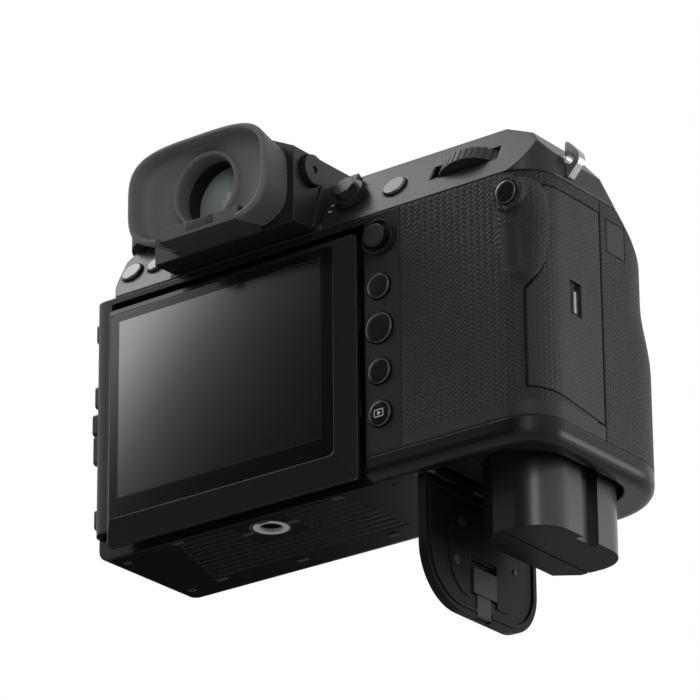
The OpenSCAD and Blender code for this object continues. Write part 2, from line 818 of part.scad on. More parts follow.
module viewfinder_housing() color("#1b1b1c") {
    slot_half = tube_r * 0.53;
    slot_high = max(lens_z + tube_r + 0.5, hump_low + 2 * hump_t);
    difference() {
        hump_solid(0);
        hump_solid(hump_t);
        rod_y(0, [hump_rear - 4.6, far], eye_z, eyepiece_d / 2 + frame_t + 0.1);
        rod_x([-hump_half - 1, -hump_half + 1.2], diopter_place[0], diopter_place[1], diopter_r + 0.4);
        box([-slot_half, slot_half], [-far, shutter_front + 0.4], [0, slot_high]);
    }
    rod_x([-hump_half - 1.2, -hump_half + 1.6], diopter_place[0], diopter_place[1], 1);
}

module eye_slice(y, w, h, r) {
    along_y([y - eps, y]) translate([0, eye_z]) round_box([-w / 2, w / 2], [-h / 2, h / 2], r, $fn = 32);
}

module eyecup() color("#2a2a2b") {
    cup_w = 2 * hump_half;
    difference() {
        hull() {
            eye_slice(eyecup_y + eps, cup_w - 6.6, eyepiece_d + 0.8, 9);
            eye_slice(eyecup_rear - 1.4, cup_w - 0.1, eyepiece_d + 8, 11);
            eye_slice(eyecup_rear, cup_w - 2.2, eyepiece_d + 6, 10);
        }
        hull() {
            eye_slice(eyecup_y + 5, eyepiece_d + 1.4, eyepiece_d + 0.4, 10.4);
            eye_slice(eyecup_rear + eps, cup_w - 6.6, eyepiece_d + 2.4, 9.4);
        }
        rod_y(0, [0, far], eye_z, eyepiece_d / 2 + 0.2);
        box([-lip_half - 0.2, lip_half + 0.2], [0, far], [0, lip_z[1] + 0.2]);
        rod_y(0, [0, eyecup_y + 2.2], eye_z, eyepiece_d / 2 + frame_t + 0.1);
    }
}

module eyepiece_frame() color("#141415") {
    difference() {
        union() {
            rod_y(0, [hump_rear - 4.5, eyecup_y + 2], eye_z, eyepiece_d / 2 + frame_t);
            box([-lip_half, lip_half], [hump_rear + 0.1, lip_y], lip_z);
        }
        rod_y(0, [hump_rear - 4, far], eye_z, eyepiece_d / 2);
        along_y([0, far]) round_box([-8, 8], [eye_z - 6.5, eye_z + 6.5], 1.5);
    }
}

module eyepiece_lens() color("#4a554f") {
    radius = 26;
    edge = eyepiece_d / 2 - 0.1;
    sag = radius - sqrt(radius * radius - edge * edge);
    translate([0, hump_rear - 3.9, eye_z]) rotate([-90, 0, 0]) rotate_extrude() intersection() {
        square([edge, 1.2 + sag]);
        translate([0, 1.2 + sag - radius]) circle(radius, $fn = 160);
    }
}

module hot_shoe() color("#9b9b9b") {
    shoe_w = 21;
    shoe_y = [-20, 0];
    track = 18.8;
    mouth = 12.6;
    base_t = 0.8;
    lip_t = 0.8;
    difference() {
        box([-shoe_w / 2, shoe_w / 2], shoe_y, [hump_top + 0.05, hump_top + shoe_h]);
        box([-track / 2, track / 2], [shoe_y[0] + 1.2, far], [hump_top + base_t, hump_top + shoe_h - lip_t]);
        box([-mouth / 2, mouth / 2], [shoe_y[0] + 1.2, far], [hump_top + base_t, far]);
    }
}

// Lens mount and imaging unit

module lens_mount() color("#b8b9ba") {
    flange_y = -front_y - flange_out;
    inner = throat_d / 2;
    tab_span = 50;
    tab_count = 4;
    tab_in = 1.8;
    tab_edge = [inner * 2, inner * 2 * tan(tab_span / 2)];
    difference() {
        union() {
            rod_y(0, [flange_y, -front_y - 0.7], lens_z, mount_d / 2);
            rod_y(0, [-front_y - 0.7 - eps, tab_rear], lens_z, inner + 1.3);
        }
        rod_y(0, [-far, collar_rear], lens_z, inner);
        rod_y(0, [collar_rear - eps, far], lens_z, inner + 0.4);
        lock_pin_place() rod_y(0, [-far, far], 0, lock_pin_r + fit);
    }
    intersection() {
        difference() {
            rod_y(0, [collar_rear + 0.5, tab_rear], lens_z, inner + 0.8);
            rod_y(0, [-far, far], lens_z, inner - tab_in);
        }
        for (i = [0:tab_count - 1])
            translate([0, 0, lens_z]) rotate([0, 45 + 360 / tab_count * i, 0]) along_y([-far, 0])
                polygon([[0, 0], tab_edge, [tab_edge[0], -tab_edge[1]]]);
    }
}

module mount_contacts() color("#c9a14a") {
    contact_y = tab_rear + 0.2;
    difference() {
        box([-contact_half, contact_half], [contact_y, contact_y + 4], [contact_low, contact_low + 3.4]);
        for (x = [-5.5 * contact_pitch:contact_pitch:5.5 * contact_pitch + eps])
            rod_y(x, [contact_y - 1, contact_y + 0.6], contact_low + 1.9, 0.7);
    }
}

module image_sensor() color("#34404f") {
    box([-sensor_half[0], sensor_half[0]], [sensor_y, sensor_y + sensor_t],
        [lens_z - sensor_half[1], lens_z + sensor_half[1]]);
}

module sensor_frame() color("#55585b") {
    back = tray_floor - tray_t - 1.8;
    slot_x = sensor_frame_half[0] - 5;
    slot_z = sensor_frame_half[1] * 2 / 3;
    difference() {
        box([-sensor_frame_half[0], sensor_frame_half[0]], [sensor_y + sensor_t + 0.1, back],
            [lens_z - sensor_frame_half[1], lens_z + sensor_frame_half[1]]);
        for (side = [-1, 1])
            box([side * slot_x - 2.5, side * slot_x + 2.5], [-far, far], [lens_z - slot_z, lens_z + slot_z]);
    }
}

module shutter_unit() color("#2b2c2e") {
    seat = sensor_half + [0.4, 0.5];
    gate = sensor_half - [1.5, 1.7];
    difference() {
        box([-shutter_half, shutter_half], [shutter_front, sensor_y + sensor_t],
            [lens_z - shutter_low, lens_z + shutter_high]);
        box([-seat[0], seat[0]], [sensor_y - 0.9, far], [lens_z - seat[1], lens_z + seat[1]]);
        box([-gate[0], gate[0]], [-far, far], [lens_z - gate[1], lens_z + gate[1]]);
    }
}

module main_board() color("#1d5a3a") {
    box([-grip_inner + 4, body_left - 4.4], [tray_floor - tray_t - 1.6, tray_floor - tray_t - 0.2],
        [low_seam + 4, high_seam - 3.4]);
}

module tripod_socket() color("#d0d0d0") {
    difference() {
        union() {
            rod_z(0, 0, [0, tripod_depth + tripod_tap + 1.2], tripod_d / 2 + 2.1);
            intersection() {
                rod_z(0, 0, [wall + 0.1, wall + 1.6], tripod_d / 2 + 4.5);
                box([-far, far], [-far, base_rear - wall - 0.1], [0, far]);
            }
        }
        rod_z(0, 0, [-1, tripod_depth], tripod_d / 2);
        rod_z(0, 0, [-1, tripod_depth + tripod_tap], tripod_d / 2 - 0.35);
    }
}

module base_pads() color("#39393a") {
    pad_w = 3.2;
    pads = [
        [26, 6.6], [-26.8, 6.6], [7.4, 0.5], [-7.4, 0.5], [-1, 5.2], [34, -21.8], [8, -23.6], [-22, -23.6]
    ];
    for (p = pads)
        box([p[0] - pad_w / 2, p[0] + pad_w / 2], [p[1] - 0.8, p[1] + 0.8], [-0.3, -0.02]);
}

module top_display() color("#0c0d10") {
    box([display_x[0] + slip, display_x[1] - slip], [display_y[0] + slip, display_y[1] - slip],
        [top_z - 0.75, top_z - 0.05]);
}

module strap_lugs() color("#d4d4d4") {
    for (side = [[1, top_left], [-1, body_right]])
        scale_x(side[0]) difference() {
            union() {
                along_y([lug_y - lug_t / 2, lug_y + lug_t / 2]) intersection() {
                    hull() {
                        translate([side[1] + lug_off, lug_z]) circle(lug_r);
                        translate([side[1] + 0.1, lug_z - lug_foot[1]])
                            square([lug_foot[0], 2 * lug_foot[1]]);
                    }
                    translate([side[1] + 0.1, 0]) square(far);
                }
                rod_x([side[1] - 3, side[1] + 0.2], lug_y, lug_z, lug_shank_r);
            }
            rod_y(side[1] + lug_off + 0.1, [-far, far], lug_z, lug_eye_r);
        }
}

module scale_x(side) {
    mirror([side < 0 ? 1 : 0, 0, 0]) children();
}

// Battery chamber and sockets

module battery_plan(g = 0) {
    x = battery_x - g;
    split_x = battery_x + battery_t - slab_t;
    slab_x = battery_x + battery_t + g;
    y = [battery_y - g, battery_y + battery_w + g];
    polygon([
        [split_x, y[0]], [split_x + slab_edge[0], y[0]], [slab_x, y[0] + slab_edge[1]],
        [slab_x, y[1] - slab_edge[1]], [split_x + slab_edge[0], y[1]], [split_x, y[1]],
        [x + lobe_r, y[1]], [x, y[1] - lobe_r], [x, y[0] + lobe_r], [x + lobe_r, y[0]]
    ]);
    for (py = [y[0] + lobe_r, y[1] - lobe_r])
        translate([x + lobe_r, py]) circle(lobe_r);
}

module battery_chamber() color("#2d2d2f") {
    difference() {
        union() {
            translate([0, 0, grip_floor + 0.1]) linear_extrude(chamber_high + 1 - grip_floor - 0.1)
                battery_plan(chamber_gap + chamber_t);
            translate([0, 0, grip_floor + 0.1]) linear_extrude(1) intersection() {
                door_plan(-0.9);
                grip_plan(wall + 0.2);
            }
        }
        translate([0, 0, -1]) linear_extrude(chamber_high + 1) battery_plan(chamber_gap);
    }
}

module card_sockets() color("#8a8d90") {
    block_y = [battery_y + battery_w + chamber_gap + chamber_t + 0.2, rear_y - card_t - 1];
    block_x = [-body_right + 9, -grip_inner - 1];
    pitch = (block_y[1] - block_y[0]) / 2;
    slot_w = 2.4;
    card_z = [24, 52];
    difference() {
        box(block_x, block_y, card_z);
        for (i = [0, 1])
            box([-far, block_x[1] - 1.5],
                [block_y[0] + pitch * (i + 0.5) - slot_w / 2, block_y[0] + pitch * (i + 0.5) + slot_w / 2],
                card_z + [1.6, -1.6]);
    }
}

module connector_sockets() color("#7d7f82") {
    difference() {
        box([body_left - 8, body_left - wall - 0.1], [-18, -3], [12.5, 55.5]);
        for (s = socket_windows)
            along_x([body_left - 6, far]) round_box([s[0] + 1.5, s[1] - 1.5], [s[2] + 2, s[3] - 2], 0.5);
    }
}

// Monitor and its three hinges

module low_pins() {
    for (x = low_lugs)
        rod_x([x - lug_w / 2 - 2.1, x + lug_w / 2 + 2.1], low_hinge[0], low_hinge[1], pin_r);
}

module monitor_low_pins() color("#a9a9aa") low_pins();

module monitor_arm() color("#3a3b3d") {
    frame_z = [monitor_low + 10, monitor_high - 6];
    frame_x = [monitor_right + 8, monitor_left - 7];
    difference() {
        union() {
            difference() {
                box(frame_x, [arm_y, arm_y + plate_t], frame_z);
                box([frame_x[0] + 9, frame_x[1] - 9], [-far, far], [frame_z[0] + 10, frame_z[1] - 10]);
            }
            for (x = low_lugs)
                along_x([x - lug_w / 2, x + lug_w / 2]) lug_side(low_hinge, frame_z[0], 1);
            for (x = high_lugs)
                along_x([x - lug_w / 2, x + lug_w / 2]) lug_side(high_hinge, frame_z[1], -1);
        }
        rod_x([-far, far], low_hinge[0], low_hinge[1], pin_r + fit);
        rod_x([-far, far], high_hinge[0], high_hinge[1], pin_r);
    }
}

// Side view of a lug that runs from a plate's edge to its hinge
module lug_side(hinge, edge, up) {
    translate(hinge) circle(knuckle_r);
    polygon([
        [arm_y, edge], [arm_y, edge + up * 3], [arm_y + plate_t, edge + up * 3],
        hinge + [knuckle_r * 0.7, up * knuckle_r * 0.7], hinge + [-knuckle_r * 0.7, -up * knuckle_r * 0.7]
    ]);
}

module monitor_high_pins() color("#a9a9aa") {
    for (x = high_lugs)
        rod_x([x - lug_w / 2, x + lug_w / 2 + lug_w + 0.4], high_hinge[0], high_hinge[1], pin_r);
}

module monitor_cradle() color("#3f4042") {
    plate_z = [monitor_low + 13, monitor_high - 13];
    plate_x = [monitor_right + 6, monitor_left - 6];
    difference() {
        union() {
            difference() {
                box(plate_x, [cradle_y, cradle_y + plate_t], plate_z);
                box([plate_x[0] + 12, plate_x[1] - 12], [-far, far], [plate_z[0] + 9, plate_z[1] - 9]);
            }
            for (x = high_lugs)
                along_x([x + lug_w / 2 + 0.2, x + lug_w * 1.5 + 0.2]) {
                    translate(high_hinge) circle(knuckle_r);
                    polygon([
                        [cradle_y, plate_z[1] - 2], [cradle_y + plate_t, plate_z[1] - 2],
                        high_hinge + [knuckle_r, 0], high_hinge + [-knuckle_r, 0]
                    ]);
                }
            for (z = side_lugs)
                translate([0, 0, z - lug_w / 2]) linear_extrude(lug_w) {
                    translate(side_hinge) circle(side_knuckle_r);
                    polygon([
                        [plate_x[0] + 2, cradle_y], [plate_x[0] + 2, cradle_y + plate_t],
                        side_hinge + [side_knuckle_r * 0.7, side_knuckle_r * 0.7],
                        side_hinge - [side_knuckle_r * 0.7, side_knuckle_r * 0.7]
                    ]);
                }
        }
        rod_x([-far, far], high_hinge[0], high_hinge[1], pin_r + fit);
        rod_z(side_hinge[0], side_hinge[1], [-far, far], pin_r);
    }
}

module monitor_side_pins() color("#a9a9aa") {
    for (z = side_lugs)
        rod_z(side_hinge[0], side_hinge[1], [z - lug_w / 2, z + lug_w * 1.5 + 0.4], pin_r);
}

module monitor_housing() color("#171718") {
    block_x = [monitor_right + 8, monitor_left - 4];
    block_z = [monitor_low + 11, monitor_high - 14.8];
    rim = rim_y + monitor_rim;
    face_y = glass_y + glass_t;
    difference() {
        union() {
            intersection() {
                along_x([monitor_right, monitor_left]) polygon([
                    [rim_y, monitor_low], [rim, monitor_low], [face_y, monitor_low + border_low],
                    [face_y, monitor_high - border_high], [rim, monitor_high], [rim_y, monitor_high]
                ]);
                translate([0, 0, -1]) linear_extrude(far) polygon([
                    [monitor_right, rim_y], [monitor_right, rim], [monitor_right + border_grip, face_y],
                    [monitor_left - border_side, face_y], [monitor_left, rim], [monitor_left, rim_y]
                ]);
                along_y([-far, far])
                    round_box([monitor_right, monitor_left], [monitor_low, monitor_high], 1.6);
            }
            box(block_x, [block_y, rim_y + eps], block_z);
            for (z = side_lugs)
                translate([0, 0, z + lug_w / 2 + 0.2]) linear_extrude(lug_w) {
                    translate(side_hinge) circle(side_knuckle_r);
                    translate([side_hinge[0], side_hinge[1] - side_knuckle_r])
                        square([block_x[0] - side_hinge[0] + eps, 2 * side_knuckle_r]);
                }
        }
        along_y([glass_y, far]) round_box([monitor_right + border_grip, monitor_left - border_side],
            [monitor_low + border_low, monitor_high - border_high], 1.5);
        rod_z(side_hinge[0], side_hinge[1], [monitor_low + 2, monitor_high - 2], pin_r + fit);
    }
}

module monitor_glass() color("#0b0c0e") {
    along_y([glass_y + 0.02, glass_y + glass_t]) round_box(
        [monitor_right + border_grip + 0.05, monitor_left - border_side - 0.05],
        [monitor_low + border_low + 0.05, monitor_high - border_high - 0.05], 1.45);
}

// Battery and its door

module battery() color("#2f3032") {
    low = -battery_out;
    middle = battery_y + battery_w / 2;
    split_x = battery_x + battery_t - slab_t;
    difference() {
        translate([0, 0, low]) linear_extrude(battery_l) battery_plan();
        box([-far, battery_x + lobe_groove[1]], [middle - lobe_groove[0] / 2, middle + lobe_groove[0] / 2],
            [-far, far]);
        box([split_x - 0.25, split_x + 0.25], [-far, far], [low - 1, low + 0.4]);
        for (i = [0:3])
            box([battery_x + battery_t - 6, far], [battery_y + 8 + i * 4, battery_y + 10 + i * 4],
                [low + battery_l - 4, far]);
    }
}

module battery_door_pin() color("#a9a9aa") {
    rod_y(door_hinge[0], [-door_front + 1, door_rear - 1], door_hinge[1], door_pin_r);
}

// Turns what is drawn in the shut position into the open one
module door_open() {
    translate([door_hinge[0], 0, door_hinge[1]]) rotate([0, -90, 0])
        translate([-door_hinge[0], 0, -door_hinge[1]]) children();
}

module battery_door() color("#19191a") {
    rib_h = 0.5;
    door_open() difference() {
        union() {
            translate([0, 0, 0.05]) linear_extrude(door_t - 0.05) door_plan();
            translate([0, 0, door_t - eps]) linear_extrude(rib_h) difference() {
                door_plan(1.2);
                door_plan(2.2);
            }
            for (i = [0:1])
                door_knuckle([door_ears[i] + door_ear_w + 0.3, door_ears[i + 1] - 0.3]);
        }
        rod_y(door_hinge[0], [-far, far], door_hinge[1], door_pin_r + fit);
        for (y = door_ears)
            box([door_hinge[0] - door_knuckle_r - 0.5, far], [y - 0.3, y + door_ear_w + 0.3], [-far, far]);
        box([latch_x - 4.2, latch_x + 5.2], [latch_y - 5.2, latch_y + 5.2], [door_t - 1.2, far]);
        box([-far, latch_x], [latch_y - 3.2, latch_y + 3.2], [door_t - 1.2, door_t + rib_h + 1]);
    }
}

module door_knuckle(y) {
    rod_y(door_hinge[0], y, door_hinge[1], door_knuckle_r);
    box([-door_left - 1, door_hinge[0]], y, [door_hinge[1] - door_knuckle_r, door_hinge[1] + door_knuckle_r]);
}

module door_latch() color("#3b3b3d") {
    door_open() {
        box([latch_x - 4, latch_x + 3], [latch_y - 5, latch_y + 5], [door_t - 1.1, door_t + 0.8]);
        box([-door_right + 0.4, latch_x], [latch_y - 3, latch_y + 3], [door_t - 1.1, door_t + 0.3]);
    }
}

// Card door and side covers

module card_door() color("#222223") {
    difference() {
        union() {
            intersection() {
                body_wall([0, high_seam], card_t);
                along_x([-far, -body_right + heel_r]) card_side();
                rod_z(card_hinge[0], card_hinge[1], [0, far], card_swing);
            }
            rod_z(card_hinge[0], card_hinge[1], [card_low - 2.2, card_high + 2], card_pin_r);
        }
        box([-far, -body_right + 1.2], latch_window_y, latch_window_z);
    }
}

module card_latch() color("#8f8f90") {
    box([-body_right + 0.5, -body_right + 1.18], latch_window_y + [0.2, -0.2], latch_window_z + [0.2, -2.2]);
    box([-body_right + 0.1, -body_right + 0.8], [latch_y_mid - 0.4, latch_y_mid + 0.4],
        latch_window_z + [0.8, -2.8]);
}

module remote_cover() color("#202021") {
    x = -body_right;
    hinge_y = -remote_rear - remote_t / 2;
    box([x, x + remote_t], [-remote_front, hinge_y], [remote_low, remote_high]);
    rod_z(x + remote_t / 2, hinge_y, [remote_low, remote_high], remote_t / 2);
}

// Flap with a half round hinge edge at the front and finger tabs at the rear
module side_flap(z, tabs) {
    hinge_y = cover_y[0] + cover_t / 2;
    x = [body_left + 0.1, body_left + 0.1 + cover_t];
    rod_z((x[0] + x[1]) / 2, hinge_y, z, cover_t / 2);
    along_x(x) round_box([hinge_y, cover_y[1]], z, 0.9);
    for (t = tabs)
        along_x([x[0], body_left + t[2]]) round_box([cover_y[1] - 2, rear_y - 2.8], [t[0], t[1]], 0.9);
}

module connector_cover_upper() color("#1f1f20") side_flap(cover_upper, upper_tabs);

module connector_cover_lower() color("#1f1f20") side_flap(cover_lower, lower_tabs);

// Controls

module mode_dial() color("#1f1f20") {
    translate([mode_place[0], mode_place[1], top_z + 0.2]) difference() {
        union() {
            translate([0, 0, mode_h / 2]) finger_dial(mode_d / 2, mode_h, 36, 1);
            cylinder(h = mode_h, r = mode_d / 2 - 1);
        }
        translate([0, 0, -1]) cylinder(h = 5.2, r = 2 + fit);
        translate([0, 0, mode_h - 0.6]) cylinder(h = 2, r = mode_d / 2 - 2.2);
    }
}

module slope_button(place, r, out) {
    on_slope(place) translate([0, 0, -2.4]) cap(r, 2.4 + out);
}

module mode_lock_button() color("#a5a5a6") slope_button(lock_place, 2.6, 1);

module drive_button() color("#a5a5a6") slope_button(drive_place, 3.2, 1);

module af_button() color("#a5a5a6") slope_button(af_place, 3.4, 0.9);

module focus_mode_lever() color("#2b2b2c") {
    on_slope(focus_place) difference() {
        union() {
            translate([0, 0, 0.25]) cylinder(h = 2.2, r = 4.6);
            translate([0, 0, 2.4]) cylinder(h = 2.2, r = 3.4, $fn = 8);
            translate([-1.3, -7, 0.25]) cube([2.6, 7, 2.2]);
        }
        translate([0, 0, -1]) cylinder(h = 3.8, r = 1.6 + fit);
    }
}

module rear_dial() color("#1b1b1c") {
    on_slope(rear_dial_place) translate([0, 0, -rear_dial_in]) rotate([90, 0, 0])
        finger_dial(rear_dial_d / 2, dial_t, 44, 1.2 + fit);
}

module front_dial() color("#1b1b1c") {
    front_dial_frame() finger_dial(front_dial_d / 2, dial_t, 36, front_axle_r + fit);
}

module shutter_button() color("#b0b0b1") {
    on_brow(shutter_place) translate([0, 0, -3]) cap(shutter_d / 2, 5.4, 0.9);
}

module power_lever() color("#222223") {
    ring = shutter_d / 2 + 2.2;
    on_brow(shutter_place) difference() {
        union() {
            translate([0, 0, 0.25]) cylinder(h = 2, r = ring + 2.6);
            translate([-2, -ring - 5, 0.25]) cube([4, 5, 2.6]);
        }
        translate([0, 0, -1]) cylinder(h = 6, r = ring + fit);
    }
}

module rear_button(z, d) {
    translate([column_x, rear_y - 2.2, z]) rotate([-90, 0, 0]) cap(d / 2, 2.2 + button_out);
}

module ael_button() color("#161617") rear_button(ael_z, button_d);

module menu_button() color("#161617") rear_button(menu_z, menu_d);

module display_button() color("#161617") rear_button(display_z, button_d);

module playback_button() color("#161617") rear_button(play_z, button_d);

module q_button() color("#161617") {
    translate([q_place[0], q_face - 2.4, q_place[1]]) rotate([-90, 0, 0]) cap(q_r, 3);
}

module joystick_gimbal() color("#6b6c6e") {
    y = rear_y - 4.5;
    difference() {
        union() {
            rod_y(column_x, [y - 1.2, y + 1.2], stick_z, 2.6);
            rod_x([column_x - 4, column_x + 4], y, stick_z, 0.5);
        }
        rod_y(column_x, [y - 3, y + 3], stick_z, 1.6);
        rod_z(column_x, y, [stick_z - 4, stick_z + 4], 0.45 + fit);
    }
}

module joystick() color("#1a1a1b") {
    y = rear_y - 4.5;
    rod_y(column_x, [y - 1, rear_y + 1], stick_z, 1);
    rod_z(column_x, y, [stick_z - 2.4, stick_z + 2.4], 0.45);
    translate([column_x, rear_y + 0.8, stick_z]) rotate([-90, 0, 0]) cap(stick_d / 2 - 0.6, 1.6);
}

module diopter_dial() color("#1d1d1e") {
    translate([-hump_half - 0.4, diopter_place[0], diopter_place[1]]) rotate([0, 90, 0]) difference() {
        finger_dial(diopter_r, 2.6, 24, 0.4);
        cylinder(h = 9, r = 1 + fit, center = true);
    }
}

module lens_release_button() color("#242425") {
    translate([release_place[0], -front_y + 3, release_place[1]]) rotate([90, 0, 0]) cap(4, 5.4);
}

module lens_lock_pin() color("#c4c4c5") {
    lock_pin_place() rod_y(0, [-front_y - flange_out - 1.6, -front_y + 4], 0, lock_pin_r);
}

bottom_cover();
front_cover();
grip_cover();
rear_cover();
rear_grip_pad();
top_cover();
left_side_panel();
viewfinder_housing();
eyecup();
eyepiece_frame();
eyepiece_lens();
hot_shoe();
lens_mount();
mount_contacts();
image_sensor();
sensor_frame();
shutter_unit();
main_board();
battery_chamber();
card_sockets();
connector_sockets();
tripod_socket();
base_pads();
top_display();
strap_lugs();
monitor_low_pins();
battery_door_pin();
monitor_arm();
monitor_high_pins();
monitor_cradle();
monitor_side_pins();
monitor_housing();
monitor_glass();
battery();
battery_door();
door_latch();
card_door();
card_latch();
remote_cover();
connector_cover_upper();
connector_cover_lower();
mode_dial();
mode_lock_button();
drive_button();
shutter_button();
power_lever();
front_dial();
rear_dial();
af_button();
focus_mode_lever();
joystick_gimbal();
joystick();
ael_button();
menu_button();
display_button();
playback_button();
q_button();
diopter_dial();
lens_release_button();
lens_lock_pin();
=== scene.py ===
"""Looks of the medium format digital camera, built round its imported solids."""

import math

import bmesh
import bpy
from mathutils import Matrix, Vector


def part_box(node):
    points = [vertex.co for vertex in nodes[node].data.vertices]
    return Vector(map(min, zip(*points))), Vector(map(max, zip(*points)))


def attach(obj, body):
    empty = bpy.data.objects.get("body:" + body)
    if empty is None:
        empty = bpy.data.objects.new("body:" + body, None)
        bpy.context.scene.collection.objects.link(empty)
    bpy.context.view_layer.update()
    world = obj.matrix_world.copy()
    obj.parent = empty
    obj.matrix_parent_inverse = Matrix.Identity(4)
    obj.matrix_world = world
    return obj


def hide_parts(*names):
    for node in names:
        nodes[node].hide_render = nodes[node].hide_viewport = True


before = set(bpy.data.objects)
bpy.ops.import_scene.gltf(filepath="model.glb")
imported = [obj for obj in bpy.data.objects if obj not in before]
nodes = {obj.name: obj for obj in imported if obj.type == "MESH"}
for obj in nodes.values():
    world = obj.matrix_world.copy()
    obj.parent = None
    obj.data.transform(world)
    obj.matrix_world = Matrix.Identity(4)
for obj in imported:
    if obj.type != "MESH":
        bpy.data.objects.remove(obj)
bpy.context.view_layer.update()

# Shapes are drawn in millimetres, and the scene is in metres
MM = 0.001
X_AXIS = Vector((1.0, 0.0, 0.0))
Y_AXIS = Vector((0.0, 1.0, 0.0))
Z_AXIS = Vector((0.0, 0.0, 1.0))
WHITE = (1.0, 1.0, 1.0, 1.0)


def node_box(name):
    """Lowest and highest corners of a node at rest, in millimetres."""
    low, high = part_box(name)
    return Vector(low) / MM, Vector(high) / MM


def node_middle(name):
    low, high = node_box(name)
    return (low + high) / 2.0


# Height of the eyepiece's axis
EYE_Z = node_middle("eyepiece_lens").z


# Small helpers for node trees

def link_value(tree, socket, value):
    if isinstance(value, bpy.types.NodeSocket):
        tree.links.new(value, socket)
    else:
        socket.default_value = value


def math_node(tree, operation, *values, clamp=False):
    node = tree.nodes.new("ShaderNodeMath")
    node.operation = operation
    node.use_clamp = clamp
    for socket, value in zip(node.inputs, values):
        link_value(tree, socket, value)
    return node.outputs[0]


def length_node(tree, first, second):
    """Distance from an axis, from the two coordinates square to it."""
    squares = math_node(tree, "MULTIPLY_ADD", second, second, math_node(tree, "MULTIPLY", first, first))
    return math_node(tree, "SQRT", squares)


def off_middle(tree, value, middle):
    """How far a value lies from a middle one, on either side."""
    return math_node(tree, "ABSOLUTE", math_node(tree, "SUBTRACT", value, middle))


def noise_node(tree, vector, scale, detail=2.0):
    node = tree.nodes.new("ShaderNodeTexNoise")
    link_value(tree, node.inputs["Scale"], scale)
    node.inputs["Detail"].default_value = detail
    tree.links.new(vector, node.inputs["Vector"])
    return node.outputs[0]


def map_node(tree, value, low, high):
    """Takes a value from 0 to 1 to one from low to high."""
    node = tree.nodes.new("ShaderNodeMapRange")
    node.inputs["To Min"].default_value = low
    node.inputs["To Max"].default_value = high
    tree.links.new(value, node.inputs["Value"])
    return node.outputs[0]


def step_node(tree, value, start, end):
    """Rises smoothly from 0 at start to 1 at end."""
    node = tree.nodes.new("ShaderNodeMapRange")
    node.interpolation_type = "SMOOTHSTEP"
    node.inputs["From Min"].default_value = start
    node.inputs["From Max"].default_value = end
    tree.links.new(value, node.inputs["Value"])
    return node.outputs[0]


def mix_color(tree, factor, first, second):
    node = tree.nodes.new("ShaderNodeMix")
    node.data_type = "RGBA"
    link_value(tree, node.inputs["Factor"], factor)
    for key, value in (("A", first), ("B", second)):
        socket = [s for s in node.inputs if s.name == key and s.type == "RGBA"][0]
        link_value(tree, socket, value)
    return [s for s in node.outputs if s.type == "RGBA"][0]


def object_place(tree):
    return tree.nodes.new("ShaderNodeTexCoord").outputs["Object"]


def object_axis(tree, axis):
    """One of the object's own coordinates, in metres."""
    split = tree.nodes.new("ShaderNodeSeparateXYZ")
    tree.links.new(object_place(tree), split.inputs[0])
    return split.outputs[axis]


def new_group(name, inputs):
    """A surface effect with the given inputs, which puts out a height and a tone."""
    tree = bpy.data.node_groups.new(name, "ShaderNodeTree")
    for label, value in inputs.items():
        socket = tree.interface.new_socket(label, in_out="INPUT", socket_type="NodeSocketFloat")
        socket.default_value = value
    for label in ("Height", "Tone"):
        tree.interface.new_socket(label, in_out="OUTPUT", socket_type="NodeSocketFloat")
    return tree, tree.nodes.new("NodeGroupInput"), tree.nodes.new("NodeGroupOutput")


# Surface effects shared by the finishes

# The grain runs round the body's sides from here, or round the nose of the grip
SIDE_MIDDLE_Y = -14.0
NOSE_X = -72.0
NOSE_Y = -28.0
NOSE_RADIUS = 19.0


